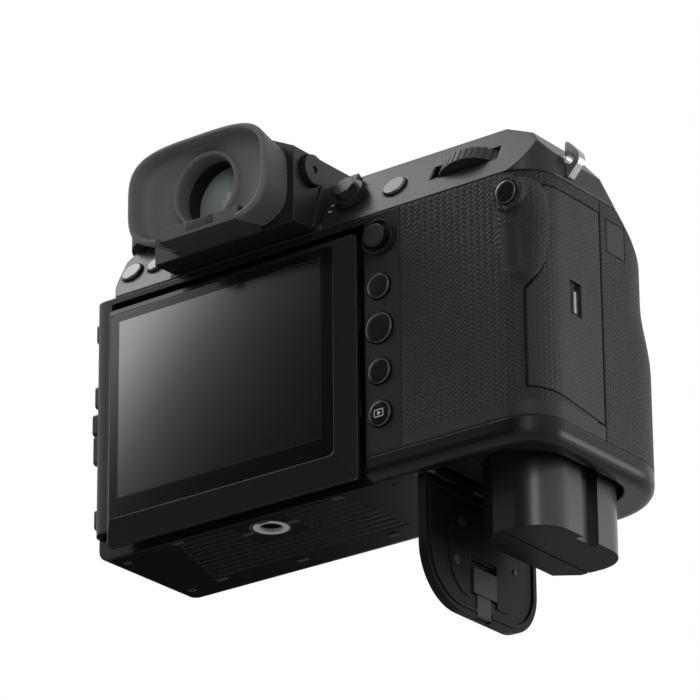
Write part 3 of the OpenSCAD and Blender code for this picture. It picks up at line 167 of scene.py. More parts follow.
def make_leather_grain():
    """Rows of short zigzag strokes that run round the grip, as pressed leatherette has."""
    tree, entry, exit_node = new_group("leather_grain", {"Pitch": 1.3 * MM, "Round": 0.0})
    stroke_length, stroke_slant = 0.8, 0.75
    wobble_fineness, wobble_reach = 380.0, 0.3
    stroke_foot, stroke_top = 0.1, 0.34
    end_start, end_dip = 0.3, 0.6
    wear_fineness, wear_reach = 700.0, 0.6
    drift_fineness = 60.0
    pitch = entry.outputs["Pitch"]
    place = object_place(tree)
    x, y, z = (object_axis(tree, axis) for axis in "XYZ")

    from_side = off_middle(tree, y, SIDE_MIDDLE_Y * MM)
    level_way = math_node(tree, "SUBTRACT", from_side, math_node(tree, "ABSOLUTE", x))
    off_nose_x = math_node(tree, "SUBTRACT", x, NOSE_X * MM)
    off_nose_y = math_node(tree, "SUBTRACT", y, NOSE_Y * MM)
    nose_angle = math_node(tree, "ARCTAN2", off_nose_y, off_nose_x)
    turned = math_node(tree, "MULTIPLY", nose_angle, NOSE_RADIUS * MM)
    gap = math_node(tree, "SUBTRACT", turned, level_way)
    round_way = math_node(tree, "MULTIPLY_ADD", gap, entry.outputs["Round"], level_way)

    across = math_node(tree, "DIVIDE", round_way, math_node(tree, "MULTIPLY", pitch, stroke_length))
    along = math_node(tree, "DIVIDE", z, pitch)
    wobble = math_node(tree, "MULTIPLY", noise_node(tree, place, wobble_fineness), wobble_reach)
    back_and_forth = math_node(tree, "PINGPONG", across, 1.0)
    zigzag = math_node(tree, "MULTIPLY_ADD", back_and_forth, stroke_slant, wobble)
    row = math_node(tree, "FRACT", math_node(tree, "ADD", along, zigzag))
    stroke = step_node(tree, off_middle(tree, row, 0.5), stroke_foot, stroke_top)

    turn = off_middle(tree, math_node(tree, "FRACT", across), 0.5)
    ends = math_node(tree, "MULTIPLY_ADD", step_node(tree, turn, end_start, 0.5), -end_dip, 1.0)
    wear = noise_node(tree, place, wear_fineness)
    worn = math_node(tree, "MULTIPLY_ADD", wear, wear_reach, 1.0 - wear_reach)
    height = math_node(tree, "MULTIPLY", math_node(tree, "MULTIPLY", stroke, ends), worn)
    tree.links.new(height, exit_node.inputs["Height"])
    tree.links.new(noise_node(tree, place, drift_fineness), exit_node.inputs["Tone"])
    return tree


def make_fine_pebble():
    """Fine pebbled paint or moulding, with a broad drift of tone."""
    tree, entry, exit_node = new_group("fine_pebble", {"Size": 0.35 * MM})
    place = object_place(tree)
    drift_fineness = 45.0
    pebble_fineness = math_node(tree, "DIVIDE", 1.0, entry.outputs["Size"])
    tree.links.new(noise_node(tree, place, pebble_fineness, detail=3.0), exit_node.inputs["Height"])
    tree.links.new(noise_node(tree, place, drift_fineness, detail=4.0), exit_node.inputs["Tone"])
    return tree


def make_brushing():
    """Fine lathe or brush lines across a metal face."""
    tree, entry, exit_node = new_group("brushing", {"Fineness": 1500.0})
    along_lines, across_lines = 0.06, 1.0
    drift_fineness = 180.0
    place = object_place(tree)
    stretch = tree.nodes.new("ShaderNodeMapping")
    stretch.inputs["Scale"].default_value = (along_lines, along_lines, across_lines)
    tree.links.new(place, stretch.inputs["Vector"])
    lines = noise_node(tree, stretch.outputs[0], entry.outputs["Fineness"])
    tree.links.new(lines, exit_node.inputs["Height"])
    tree.links.new(noise_node(tree, place, drift_fineness), exit_node.inputs["Tone"])
    return tree


effects = {
    "leather_grain": make_leather_grain(),
    "fine_pebble": make_fine_pebble(),
    "brushing": make_brushing(),
}


# Finishes

EDGE_SAMPLES = 6


class Finish:
    """A material whose colour, roughness and relief come from one of the surface effects.

    The effect's tone runs between the two colours and the two values of rough. Relief is the strength
    of the bump and its depth in millimetres, and edge is the radius to which edges look rounded.
    """

    def __init__(self, name, effect, colors, rough, relief, edge=0.4, specular=0.3, metallic=0.0,
                 coat=0.0, coat_rough=0.12, setting=None):
        self.material = bpy.data.materials.new(name)
        self.material.use_nodes = True
        self.tree = self.material.node_tree
        self.shader = self.tree.nodes["Principled BSDF"]
        self.effect = self.tree.nodes.new("ShaderNodeGroup")
        self.effect.node_tree = effects[effect]
        for label, value in (setting or {}).items():
            self.effect.inputs[label].default_value = value
        tone = self.effect.outputs["Tone"]
        dark, light = colors
        self.color = mix_color(self.tree, tone, (*dark, 1.0), (*light, 1.0))
        self.feed("Base Color", self.color)
        self.feed("Roughness", map_node(self.tree, tone, *rough))
        self.shader.inputs["Metallic"].default_value = metallic
        self.shader.inputs["Specular IOR Level"].default_value = specular
        self.shader.inputs["Coat Weight"].default_value = coat
        self.shader.inputs["Coat Roughness"].default_value = coat_rough
        strength, depth = relief
        self.bump = self.tree.nodes.new("ShaderNodeBump")
        self.bump.inputs["Strength"].default_value = strength
        self.bump.inputs["Distance"].default_value = depth * MM
        self.tree.links.new(self.effect.outputs["Height"], self.bump.inputs["Height"])
        if edge:
            rounded = self.tree.nodes.new("ShaderNodeBevel")
            rounded.samples = EDGE_SAMPLES
            rounded.inputs["Radius"].default_value = edge * MM
            self.tree.links.new(rounded.outputs[0], self.bump.inputs["Normal"])
        self.feed("Normal", self.bump.outputs[0])

    def feed(self, label, source):
        self.tree.links.new(source, self.shader.inputs[label])

    def between(self, axis, low, high, soft):
        """A mask that is one from low to high along an axis, both in millimetres."""
        value = object_axis(self.tree, axis)
        rise = step_node(self.tree, value, (low - soft) * MM, low * MM)
        fall = step_node(self.tree, value, high * MM, (high + soft) * MM)
        return math_node(self.tree, "SUBTRACT", rise, fall, clamp=True)

    def both(self, first, second):
        return math_node(self.tree, "MULTIPLY", first, second)

    def limit_relief(self, mask):
        self.tree.links.new(self.both(self.effect.outputs["Height"], mask), self.bump.inputs["Height"])

    def tint(self, mask, color):
        self.color = mix_color(self.tree, mask, self.color, (*color, 1.0))
        self.feed("Base Color", self.color)

    def coat_outside(self, mask, weight):
        """Gives the finish a gloss coat everywhere but in the mask."""
        self.feed("Coat Weight", map_node(self.tree, mask, weight, 0.0))


def grey(value):
    """A grey that leans a little to blue."""
    return (value, value, value * 1.03)


def greys(dark, light):
    return grey(dark), grey(light)


# Leather
leatherette = Finish(
    "leatherette", "leather_grain", greys(0.010, 0.016), rough=(0.62, 0.52), relief=(1.0, 0.55), edge=1.2,
    setting={"Round": 1.0})
pad_leather = Finish(
    "pad_leather", "leather_grain", greys(0.010, 0.016), rough=(0.62, 0.52), relief=(1.0, 0.55), edge=1.2)
grip_side = Finish(
    "grip_side", "leather_grain", greys(0.010, 0.016), rough=(0.6, 0.5), relief=(0.6, 0.3), edge=0.8)

# Paint on the metal covers
rear_paint = Finish(
    "rear_paint", "fine_pebble", greys(0.006, 0.009), rough=(0.46, 0.38), relief=(0.16, 0.08),
    specular=0.2)
top_paint = Finish(
    "top_paint", "fine_pebble", greys(0.010, 0.014), rough=(0.4, 0.33), relief=(0.16, 0.08), edge=1.0)
satin_paint = Finish(
    "satin_paint", "fine_pebble", greys(0.010, 0.014), rough=(0.46, 0.38), relief=(0.16, 0.08))
# The base's paint is a darker copy of the covers' paint, as painted shade
shaded_base_paint = Finish(
    "shaded_base_paint", "fine_pebble", greys(0.006, 0.009), rough=(0.36, 0.28), relief=(0.12, 0.08), edge=0.8,
    specular=0.16)

# Rubber
soft_rubber = Finish(
    "soft_rubber", "fine_pebble", greys(0.016, 0.022), rough=(0.62, 0.54), relief=(0.12, 0.08), edge=0.6)
eye_rubber = Finish(
    "eye_rubber", "fine_pebble", greys(0.115, 0.13), rough=(0.66, 0.58), relief=(0.14, 0.08), edge=0)

# Moulded plastic
bezel_plastic = Finish(
    "bezel_plastic", "fine_pebble", greys(0.010, 0.014), rough=(0.42, 0.34), relief=(0.06, 0.05), edge=0.5,
    specular=0.18)
gloss_key = Finish(
    "gloss_key", "fine_pebble", greys(0.006, 0.009), rough=(0.2, 0.15), relief=(0.05, 0.04), edge=1.3,
    coat=0.8)
knurl_plastic = Finish(
    "knurl_plastic", "fine_pebble", greys(0.008, 0.013), rough=(0.46, 0.38), relief=(0.1, 0.05), edge=0.15)
battery_plastic = Finish(
    "battery_plastic", "fine_pebble", greys(0.009, 0.012), rough=(0.5, 0.42), relief=(0.08, 0.06),
    edge=0.5, specular=0.05, coat_rough=0.3)
door_plastic = Finish(
    "door_plastic", "fine_pebble", greys(0.004, 0.006), rough=(0.5, 0.4), relief=(0.1, 0.06), edge=0.3,
    specular=0.08)
latch_plastic = Finish(
    "latch_plastic", "fine_pebble", greys(0.012, 0.016), rough=(0.5, 0.42), relief=(0.1, 0.06), edge=0.2,
    specular=0.2)
eyepiece_plastic = Finish(
    "eyepiece_plastic", "fine_pebble", greys(0.006, 0.009), rough=(0.5, 0.42), relief=(0.1, 0.06),
    edge=0.3)
dark_plastic = Finish(
    "dark_plastic", "fine_pebble", greys(0.009, 0.014), rough=(0.55, 0.45), relief=(0.1, 0.06), edge=0)
# Painted shade: a near-black finish for the inside of the base's shallow slots
slot_shade = Finish(
    "slot_shade", "fine_pebble", greys(0.002, 0.003), rough=(0.8, 0.7), relief=(0.0, 0.02), edge=0,
    specular=0.1)

# Metal
bright_steel = Finish(
    "bright_steel", "brushing", greys(0.3, 0.38), rough=(0.56, 0.48), relief=(0.06, 0.03), edge=0.15,
    specular=0.5, metallic=1.0)
lug_steel = Finish(
    "lug_steel", "brushing", greys(0.3, 0.38), rough=(0.36, 0.28), relief=(0.05, 0.03), edge=0.5,
    specular=0.5, metallic=1.0)
socket_ring = Finish(
    "socket_ring", "brushing", greys(0.008, 0.011), rough=(0.4, 0.32), relief=(0.05, 0.03), edge=0.2)
silver_key = Finish(
    "silver_key", "brushing", greys(0.085, 0.105), rough=(0.38, 0.3), relief=(0.05, 0.03), edge=0.3,
    specular=0.5, metallic=1.0)
dark_alloy = Finish(
    "dark_alloy", "brushing", greys(0.05, 0.07), rough=(0.42, 0.34), relief=(0.06, 0.03), edge=0.15,
    specular=0.5, metallic=0.6)
latch_bar = Finish(
    "latch_bar", "brushing", greys(0.003, 0.004), rough=(0.5, 0.42), relief=(0.05, 0.03), edge=0.1,
    specular=0.15)
gold_plate = Finish(
    "gold_plate", "brushing", ((0.62, 0.43, 0.14), (0.72, 0.52, 0.2)), rough=(0.3, 0.22),
    relief=(0.04, 0.02), edge=0, specular=0.5, metallic=1.0)

# Board and marks
board_mask = Finish(
    "board_mask", "fine_pebble", ((0.01, 0.06, 0.03), (0.015, 0.09, 0.045)), rough=(0.4, 0.3),
    relief=(0.05, 0.04), edge=0)
white_mark = Finish(
    "white_mark", "fine_pebble", greys(0.5, 0.58), rough=(0.5, 0.42), relief=(0.05, 0.03), edge=0)
index_mark = Finish(
    "index_mark", "fine_pebble", ((0.45, 0.03, 0.02), (0.5, 0.04, 0.03)), rough=(0.45, 0.38),
    relief=(0.04, 0.03), edge=0)

# Glass
screen = Finish(
    "screen", "fine_pebble", greys(0.003, 0.004), rough=(0.165, 0.15), relief=(0.0, 0.01), edge=0,
    specular=0.25)
display_glass = Finish(
    "display_glass", "fine_pebble", greys(0.004, 0.006), rough=(0.2, 0.15), relief=(0.0, 0.01), edge=0,
    specular=0.5)
lens_glass = Finish(
    "lens_glass", "fine_pebble", ((0.24, 0.28, 0.26), (0.30, 0.34, 0.32)), rough=(0.26, 0.22),
    relief=(0.0, 0.01), edge=0, specular=0.5, coat=0.15)
sensor_glass = Finish(
    "sensor_glass", "fine_pebble", ((0.02, 0.04, 0.06), (0.04, 0.03, 0.07)), rough=(0.12, 0.08),
    relief=(0.0, 0.01), edge=0, specular=0.6, coat=1.0)
SENSOR_FILM_NANOMETRES = 520.0
sensor_glass.shader.inputs["Thin Film Thickness"].default_value = SENSOR_FILM_NANOMETRES

# The pad is plain along its low edge and in a patch under its upper button
PAD_PLAIN_BELOW, PAD_GRAINED_ABOVE = 9.5, 12.0
pad_height = object_axis(pad_leather.tree, "Z")
grained = step_node(pad_leather.tree, pad_height, PAD_PLAIN_BELOW * MM, PAD_GRAINED_ABOVE * MM)
patch_across = pad_leather.between("X", low=-88.5, high=-84.0, soft=2.5)
patch_up = pad_leather.between("Z", low=47.0, high=57.0, soft=2.5)
patch = pad_leather.both(patch_across, patch_up)
pad_leather.limit_relief(math_node(pad_leather.tree, "SUBTRACT", grained, patch, clamp=True))

# The picture area is a shade lighter than the black border of its glass
BORDER_RIGHT, BORDER_LEFT, BORDER_LOW, BORDER_HIGH = 4.05, 2.95, 5.45, 2.65
PICTURE_GREY = grey(0.10)
glass_low, glass_high = node_box("monitor_glass")
picture_across = screen.between("X", glass_low.x + BORDER_RIGHT, glass_high.x - BORDER_LEFT, soft=0.3)
picture_up = screen.between("Z", glass_low.z + BORDER_LOW, glass_high.z - BORDER_HIGH, soft=0.3)
picture = screen.both(picture_across, picture_up)
screen.tint(picture, PICTURE_GREY)
screen.feed("Metallic", picture)

# Only the ring round the tripod thread is bare metal
BARE_RADIUS, PAINTED_RADIUS = 4.7, 4.9
BARE_GREY = grey(0.55)
socket_x, socket_y = (object_axis(socket_ring.tree, axis) for axis in "XY")
from_thread = length_node(socket_ring.tree, socket_x, socket_y)
painted = step_node(socket_ring.tree, from_thread, BARE_RADIUS * MM, PAINTED_RADIUS * MM)
bare = math_node(socket_ring.tree, "SUBTRACT", 1.0, painted)
mouth = socket_ring.between("Z", low=-5.0, high=0.6, soft=0.6)
socket_ring.tint(socket_ring.both(bare, mouth), BARE_GREY)

# A rosy reflection off the lens coating is painted low on the eyepiece
ROSY_REFLECTION = (0.33, 0.27, 0.28)
lens_glass.tint(lens_glass.between("Z", low=70.0, high=EYE_Z - 4.3, soft=6.0), ROSY_REFLECTION)

# The shelf below the eyepiece is greyer than the frame round the lens
SHELF_LOW, SHELF_TOP = 70.0, 77.6
SHELF_GREY = grey(0.044)
eyepiece_plastic.tint(eyepiece_plastic.between("Z", SHELF_LOW, SHELF_TOP, soft=0.1), SHELF_GREY)

# The battery is glossy, and its end is dull and painted near black as painted shade
BATTERY_END = node_box("battery")[0].z
BATTERY_END_SHADE = grey(0.003)
battery_end = battery_plastic.between("Z", BATTERY_END - 1.0, BATTERY_END + 0.05, soft=0.05)
battery_plastic.tint(battery_end, BATTERY_END_SHADE)
battery_plastic.coat_outside(battery_end, weight=1.0)

# The latch's bar is bare metal on a dark plate
BAR_OUTSIDE, BAR_PLATE = -99.0, -93.05
BAR_GREY = grey(0.42)
latch_bar.tint(latch_bar.between("X", BAR_OUTSIDE, BAR_PLATE, soft=0.05), BAR_GREY)

worn_by = {
    leatherette: ["grip_cover"],
    pad_leather: ["rear_grip_pad", "left_side_panel"],
    grip_side: ["card_door"],
    top_paint: ["top_cover"],
    rear_paint: ["rear_cover"],
    satin_paint: ["front_cover", "viewfinder_housing"],
    shaded_base_paint: ["bottom_cover"],
    soft_rubber: ["remote_cover", "connector_cover_upper", "connector_cover_lower", "base_pads"],
    eye_rubber: ["eyecup"],
    bezel_plastic: ["monitor_housing"],
    gloss_key: ["ael_button", "menu_button", "display_button", "playback_button", "q_button",
                "lens_release_button"],
    knurl_plastic: ["mode_dial", "front_dial", "rear_dial", "diopter_dial", "focus_mode_lever",
                    "power_lever", "joystick"],
    battery_plastic: ["battery"],
    door_plastic: ["battery_door"],
    latch_plastic: ["door_latch"],
    eyepiece_plastic: ["eyepiece_frame"],
    dark_plastic: ["battery_chamber", "shutter_unit", "mount_contacts"],
    socket_ring: ["tripod_socket"],
    lug_steel: ["strap_lugs"],
    bright_steel: ["lens_mount", "lens_lock_pin", "battery_door_pin", "monitor_low_pins",
                   "monitor_high_pins", "monitor_side_pins", "card_sockets", "connector_sockets"],
    latch_bar: ["card_latch"],
    silver_key: ["mode_lock_button", "drive_button", "af_button", "shutter_button"],
    dark_alloy: ["monitor_arm", "monitor_cradle", "sensor_frame", "joystick_gimbal", "hot_shoe"],
    board_mask: ["main_board"],
    screen: ["monitor_glass"],
    display_glass: ["top_display"],
    lens_glass: ["eyepiece_lens"],
    sensor_glass: ["image_sensor"],
}
for finish, names in worn_by.items():
    for name in names:
        nodes[name].data.materials.clear()
        nodes[name].data.materials.append(finish.material)


# Shapes for the small pieces, drawn in millimetres

def facing(axis):
    """A turn that takes the Z axis to the given one."""
    return Z_AXIS.rotation_difference(axis).to_matrix().to_4x4()


def soften(shape, edges, width, steps=2):
    bmesh.ops.bevel(shape, geom=edges, offset=width, offset_type="OFFSET", segments=steps, profile=0.5,
                    affect="EDGES", material=-1)


def block(shape, centre, size, turn=None):
    """A plain block, which is then softened or used as a cutter."""
    placed = Matrix.Translation(centre) @ (turn or Matrix.Identity(4)) @ Matrix.Diagonal((*size, 1.0))
    return bmesh.ops.create_cube(shape, size=1.0, matrix=placed)["verts"]


def slab(shape, centre, size, soft, turn=None):
    """A block with rounded edges."""
    verts = block(shape, centre, size, turn)
    soften(shape, list({edge for vert in verts for edge in vert.link_edges}), soft)


def stud(shape, centre, axis, radius, height, soft, sides=32, recess=0.0):
    """A round boss with a softened rim, and a driver recess in its end where one is asked for."""
    centre = Vector(centre)
    placed = Matrix.Translation(centre) @ facing(axis)
    verts = bmesh.ops.create_cone(shape, cap_ends=True, segments=sides, radius1=radius, radius2=radius,
                                  depth=height, matrix=placed)["verts"]
    faces = {face for vert in verts for face in vert.link_faces}
    end = max(faces, key=lambda face: face.calc_center_median().dot(axis))
    rim = list(end.edges)
    if recess:
        land, wall = radius * 0.45, radius * 0.05
        bmesh.ops.inset_individual(shape, faces=[end], thickness=land, depth=0.0)
        bmesh.ops.inset_individual(shape, faces=[end], thickness=wall, depth=-recess)
    soften(shape, rim, soft)


def runs_along(edge, axis):
    way = (edge.verts[0].co - edge.verts[1].co).normalized()
    return abs(way.dot(axis)) > 0.9


def add_piece(name, shape, body, finish, crease=20.0):
    bmesh.ops.recalc_face_normals(shape, faces=shape.faces)
    bmesh.ops.scale(shape, vec=(MM, MM, MM), verts=shape.verts)
    mesh = bpy.data.meshes.new(name)
    shape.to_mesh(mesh)
    shape.free()
    mesh.shade_smooth()
    mesh.set_sharp_from_angle(angle=math.radians(crease))
    mesh.materials.append(finish.material)
    piece = bpy.data.objects.new(name, mesh)
    bpy.context.scene.collection.objects.link(piece)
    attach(piece, body)
    return piece


def cut_away(piece, centre, size):
    """Cuts a block, drawn in millimetres, out of a finished piece."""
    shape = bmesh.new()
    block(shape, centre, size)
    bmesh.ops.scale(shape, vec=(MM, MM, MM), verts=shape.verts)
    mesh = bpy.data.meshes.new("cutter")
    shape.to_mesh(mesh)
    shape.free()
    cutter = bpy.data.objects.new("cutter", mesh)
    bpy.context.scene.collection.objects.link(cutter)
    cut = piece.modifiers.new("cut", "BOOLEAN")
    cut.operation = "DIFFERENCE"
    cut.solver = "EXACT"
    cut.object = cutter
    bpy.context.view_layer.update()
    made = bpy.data.meshes.new_from_object(piece.evaluated_get(bpy.context.evaluated_depsgraph_get()))
    piece.modifiers.remove(cut)
    piece.data = made
    bpy.data.objects.remove(cutter)


# Eyecup: a soft rim that rolls over into the well round the lens

EYE_SEGMENTS = 96
RIM_POWER = 3.6

# Each ring of the rim is a depth along Y, a half width and a half height
EYECUP_RIM = [
    (20.2, 21.4, 12.4), (24.0, 21.9, 13.1), (28.0, 22.6, 13.8), (30.6, 23.1, 14.2), (31.5, 23.2, 14.25),
    (31.95, 22.95, 14.0), (32.2, 22.4, 13.5), (32.1, 21.9, 13.05), (31.5, 21.5, 12.75), (29.2, 20.8, 12.4),
    (27.7, 19.8, 12.1),
]

# The well goes over from the rim's outline to a round one, so its rings also have the outline's power
EYECUP_WELL = [(27.0, 18.2, 11.8, 3.2), (26.6, 15.2, 11.55, 2.6), (26.4, 12.8, 11.4, 2.15)]

# Each ring of the throat is a depth and a radius
EYECUP_THROAT = [
    (26.8, 11.3), (27.5, 11.0), (27.95, 10.6), (28.1, 10.2), (27.9, 9.8), (27.2, 9.5), (23.0, 9.5),
    (22.5, 9.7), (22.4, 11.3), (20.2, 11.3),
]


def place_ring(verts, depth, half_width, half_height, power):
    """Moves a ring of vertices to a rounded box outline at one depth."""
    for index, vert in enumerate(verts):
        angle = math.tau * index / EYE_SEGMENTS
        across, up = math.cos(angle), math.sin(angle)
        vert.co.x = half_width * math.copysign(abs(across) ** (2.0 / power), across)
        vert.co.y = depth
        vert.co.z = EYE_Z + half_height * math.copysign(abs(up) ** (2.0 / power), up)


def draw_out(shape, loop, edges):
    """Extrudes a ring of edges, and gives the new ring in the old one's order."""
    made = bmesh.ops.extrude_edge_only(shape, edges=edges)["geom"]
    fresh = {item for item in made if isinstance(item, bmesh.types.BMVert)}
    next_loop = []
    for vert in loop:
        beside = [edge.other_vert(vert) for edge in vert.link_edges]
        next_loop += [other for other in beside if other in fresh]
    made_edges = [item for item in made if isinstance(item, bmesh.types.BMEdge)]
    return next_loop, [edge for edge in made_edges if fresh.issuperset(edge.verts)]


def eyecup_shape():
    rings = [(*ring, RIM_POWER) for ring in EYECUP_RIM] + EYECUP_WELL
    rings += [(depth, radius, radius, 2.0) for depth, radius in EYECUP_THROAT]
    shape = bmesh.new()
    loop = bmesh.ops.create_circle(shape, cap_ends=False, segments=EYE_SEGMENTS, radius=1.0)["verts"]
    place_ring(loop, *rings[0])
    first = list(shape.edges)
    edges = first
    for ring in rings[1:]:
        loop, edges = draw_out(shape, loop, edges)
        place_ring(loop, *ring)
    bmesh.ops.bridge_loops(shape, edges=first + edges)
    return shape


def add_eyecup():
    """The cup, notched for the shelf below the lens."""
    notch_middle = (0.0, 26.0, 74.0)
    notch_size = (26.6, 20.0, 7.7)
    eyecup = add_piece("eyecup_rubber", eyecup_shape(), "body", eye_rubber, crease=50.0)
    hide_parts("eyecup")
    cut_away(eyecup, notch_middle, notch_size)


def add_eyecup_ribs():
    """Three short grip ribs on each side of the cup."""
    rib_x, rib_y = 21.2, 22.0
    rib_size = (0.9, 2.6, 0.55)
    ribs = bmesh.new()
    for side in (-1.0, 1.0):
        for above_eye in (0.9, 2.4, 3.9):
            slab(ribs, (rib_x * side, rib_y, EYE_Z + above_eye), rib_size, soft=0.2)
    add_piece("eyecup_ribs", ribs, "body", eye_rubber)


def add_eye_sensor_window():
    """A dark plate on the shelf, with two round windows."""
    shelf_face, height = 30.42, 76.3
    plate_size = (9.0, 0.16, 2.2)
    window_x = 2.4
    window = bmesh.new()
    slab(window, (0.0, shelf_face, height), plate_size, soft=0.06)
    for side in (-1.0, 1.0):
        spot = (window_x * side, shelf_face + plate_size[1] / 2.0, height)
        stud(window, spot, Y_AXIS, radius=0.7, height=0.12, soft=0.04)
    add_piece("eye_sensor_window", window, "body", display_glass)


def add_hump_strip():
    """A raised strip down the side of the viewfinder housing."""
    low, high = Vector((-23.45, 11.4, 74.4)), Vector((-23.45, 7.5, 87.9))
    thick, width = 0.7, 2.2
    lean = math.atan2(low.y - high.y, high.z - low.z)
    strip_size = (thick, width, (high - low).length)
    strip = bmesh.new()
    slab(strip, (low + high) / 2.0, strip_size, soft=0.25, turn=Matrix.Rotation(lean, 4, "X"))
    add_piece("hump_strip", strip, "body", latch_plastic)


def add_lever_ticks():
    """Three plain ticks beside the focus lever, on the top cover's rear slope."""
    slope_y, slope_z = 11.4, 73.3
    slope_rise, slope_run = 17.2, 9.4
    tick_x = -25.9
    tick_size = (1.1, 0.1, 0.5)
    turn = Matrix.Rotation(math.atan2(slope_rise, slope_run) - math.pi / 2.0, 4, "X")
    ticks = bmesh.new()
    for height in (84.1, 82.2, 80.0):
        back = slope_y - (height - slope_z) * slope_run / slope_rise
        slab(ticks, (tick_x, back, height), tick_size, soft=0.03, turn=turn)
    add_piece("lever_ticks", ticks, "body", white_mark)


def add_play_sign():
    """A triangle in a frame, on the playback button."""
    spot = node_middle("playback_button")
    spot.y = node_box("playback_button")[1].y
    frame_width, frame_height = 2.9, 2.1
    upright_at, bar_at = 1.35, 0.95
    line, thick = 0.22, 0.08
    arrow_radius = 0.7
    play = bmesh.new()
    for side in (-1.0, 1.0):
        slab(play, spot + X_AXIS * upright_at * side, (line, thick, frame_height), soft=0.02)
        slab(play, spot + Z_AXIS * bar_at * side, (frame_width, thick, line), soft=0.02)
    turn = Matrix.Rotation(math.radians(-90.0), 4, "X") @ Matrix.Rotation(math.radians(90.0), 4, "Z")
    bmesh.ops.create_cone(play, cap_ends=True, segments=3, radius1=arrow_radius, radius2=arrow_radius,
                          depth=thick, matrix=Matrix.Translation(spot) @ turn)
    add_piece("play_sign", play, "playback_button", white_mark)


def add_stick_studs():
    """Rings of small studs on the joystick's cap."""
    cap = node_middle("joystick")
    cap.y = node_box("joystick")[1].y
    rings = ((0.0, 1), (0.85, 6), (1.7, 12), (2.45, 18))
    studs = bmesh.new()
    for ring_radius, count in rings:
        for index in range(count):
            angle = math.tau * index / count
            spot = cap + X_AXIS * ring_radius * math.cos(angle) + Z_AXIS * ring_radius * math.sin(angle)
            stud(studs, spot, Y_AXIS, radius=0.24, height=0.3, soft=0.08, sides=12)
    add_piece("stick_studs", studs, "joystick", knurl_plastic)


def add_base_marks():
    """Shallow slots on the base as near-black slabs, which are painted shade, and four screws."""
    face = -0.02
    slot_rows = ((35.6, 5.5, 5.0, 0.7), (-44.6, 8.9, 2.4, 0.6), (-43.9, 5.0, 2.4, 0.6))
    slot_depth = 0.08
    slots = bmesh.new()
    for x, y, length, width in slot_rows:
        slab(slots, (x, y, face), (length, width, slot_depth), soft=0.02)
    add_piece("base_slots", slots, "body", slot_shade)
    screw_spots = ((-52.8, 6.8), (-47.0, -24.0), (46.0, -24.0), (46.0, 3.0))
    screws = bmesh.new()
    for x, y in screw_spots:
        stud(screws, (x, y, face), -Z_AXIS, radius=1.1, height=0.16, soft=0.05, sides=24, recess=0.1)
    add_piece("base_screws", screws, "body", dark_alloy)


def add_door_lining():
    """A raised panel inside the battery door, cut out for the latch, and three bosses."""
    inner_face = node_box("battery_door")[0].x + 0.5
    panel_middle = (inner_face - 0.12, -18.6, -16.4)
    panel_size = (0.5, 32.0, 24.4)
    corner_radius, edge_radius = 9.0, 0.18
    sharp_angle = 1.0
    panel = bmesh.new()
    block(panel, panel_middle, panel_size)
    soften(panel, [edge for edge in panel.edges if runs_along(edge, X_AXIS)], corner_radius, steps=10)
    soften(panel, [edge for edge in panel.edges if edge.calc_face_angle(0.0) > sharp_angle], edge_radius)
    panel = add_piece("door_panel", panel, "battery_door", door_plastic)
    room_middle = (inner_face, node_middle("door_latch").y, -26.0)
    room_size = (4.0, 11.2, 18.0)
    cut_away(panel, room_middle, room_size)
    boss_rows = ((-7.7, -9.1, 1.3), (-5.1, -19.9, 1.3), (-30.5, -16.4, 0.9))
    bosses = bmesh.new()
    for y, z, radius in boss_rows:
        stud(bosses, (inner_face - 0.3, y, z), -X_AXIS, radius, height=0.7, soft=0.2)
    add_piece("door_bosses", bosses, "battery_door", latch_plastic)


def add_mount_details():
    """Screws and an index dot on the lens mount, and pins on its contact block."""
    mount_z = node_middle("lens_mount").z
    flange = node_box("lens_mount")[0].y + 0.02
    ring_radius = 35.75
    screw_count, first_angle = 6, 15.0
    screws = bmesh.new()
    for index in range(screw_count):
        angle = math.radians(first_angle + 360.0 * index / screw_count)
        spot = (ring_radius * math.cos(angle), flange, mount_z + ring_radius * math.sin(angle))
        stud(screws, spot, -Y_AXIS, radius=1.4, height=0.2, soft=0.06, recess=0.14)
    add_piece("mount_screws", screws, "body", bright_steel)
    dot = bmesh.new()
    stud(dot, (0.0, flange, mount_z + ring_radius), -Y_AXIS, radius=1.3, height=0.16, soft=0.05)
    add_piece("mount_index", dot, "body", index_mark)
    pin_count, pin_pitch = 12, 2.4
    pin_y, pin_z = node_box("mount_contacts")[0].y + 0.15, 15.27
    pins = bmesh.new()
    for index in range(pin_count):
        x = (index - (pin_count - 1) / 2.0) * pin_pitch
        stud(pins, (x, pin_y, pin_z), -Y_AXIS, radius=0.55, height=0.9, soft=0.25, sides=20)
    add_piece("contact_pins", pins, "body", gold_plate)


def add_shoe_pins():
    """One large and three small contacts in the hot shoe."""
    shoe_floor = 101.42
    pin_rows = ((0.0, -9.5, 1.2), (-4.2, -5.0, 0.8), (4.2, -5.0, 0.8), (-4.2, -13.0, 0.8))
    pins = bmesh.new()
    for x, y, radius in pin_rows:
        stud(pins, (x, y, shoe_floor), Z_AXIS, radius, height=0.2, soft=0.06, sides=24)
    add_piece("shoe_pins", pins, "body", gold_plate)


def add_dial_ticks():
    """Twelve ticks on the mode dial, each third one longer."""
    tick_count, tick_radius = 12, 7.8
    short, long, width, thick = 1.6, 2.4, 0.4, 0.1
    middle = node_middle("mode_dial")
    middle.z = node_box("mode_dial")[1].z - 0.6
    ticks = bmesh.new()
    for index in range(tick_count):
        turn = Matrix.Rotation(math.tau * index / tick_count, 4, "Z")
        length = short if index % 3 else long
        spot = middle + turn.to_3x3() @ (X_AXIS * tick_radius)
        slab(ticks, spot, (length, width, thick), soft=0.03, turn=turn)
    add_piece("dial_ticks", ticks, "mode_dial", white_mark)


add_eyecup()
add_eyecup_ribs()
add_eye_sensor_window()
add_hump_strip()
add_lever_ticks()
add_play_sign()
add_stick_studs()
add_base_marks()
add_door_lining()
add_mount_details()
add_shoe_pins()
add_dial_ticks()


# Studio, in metres

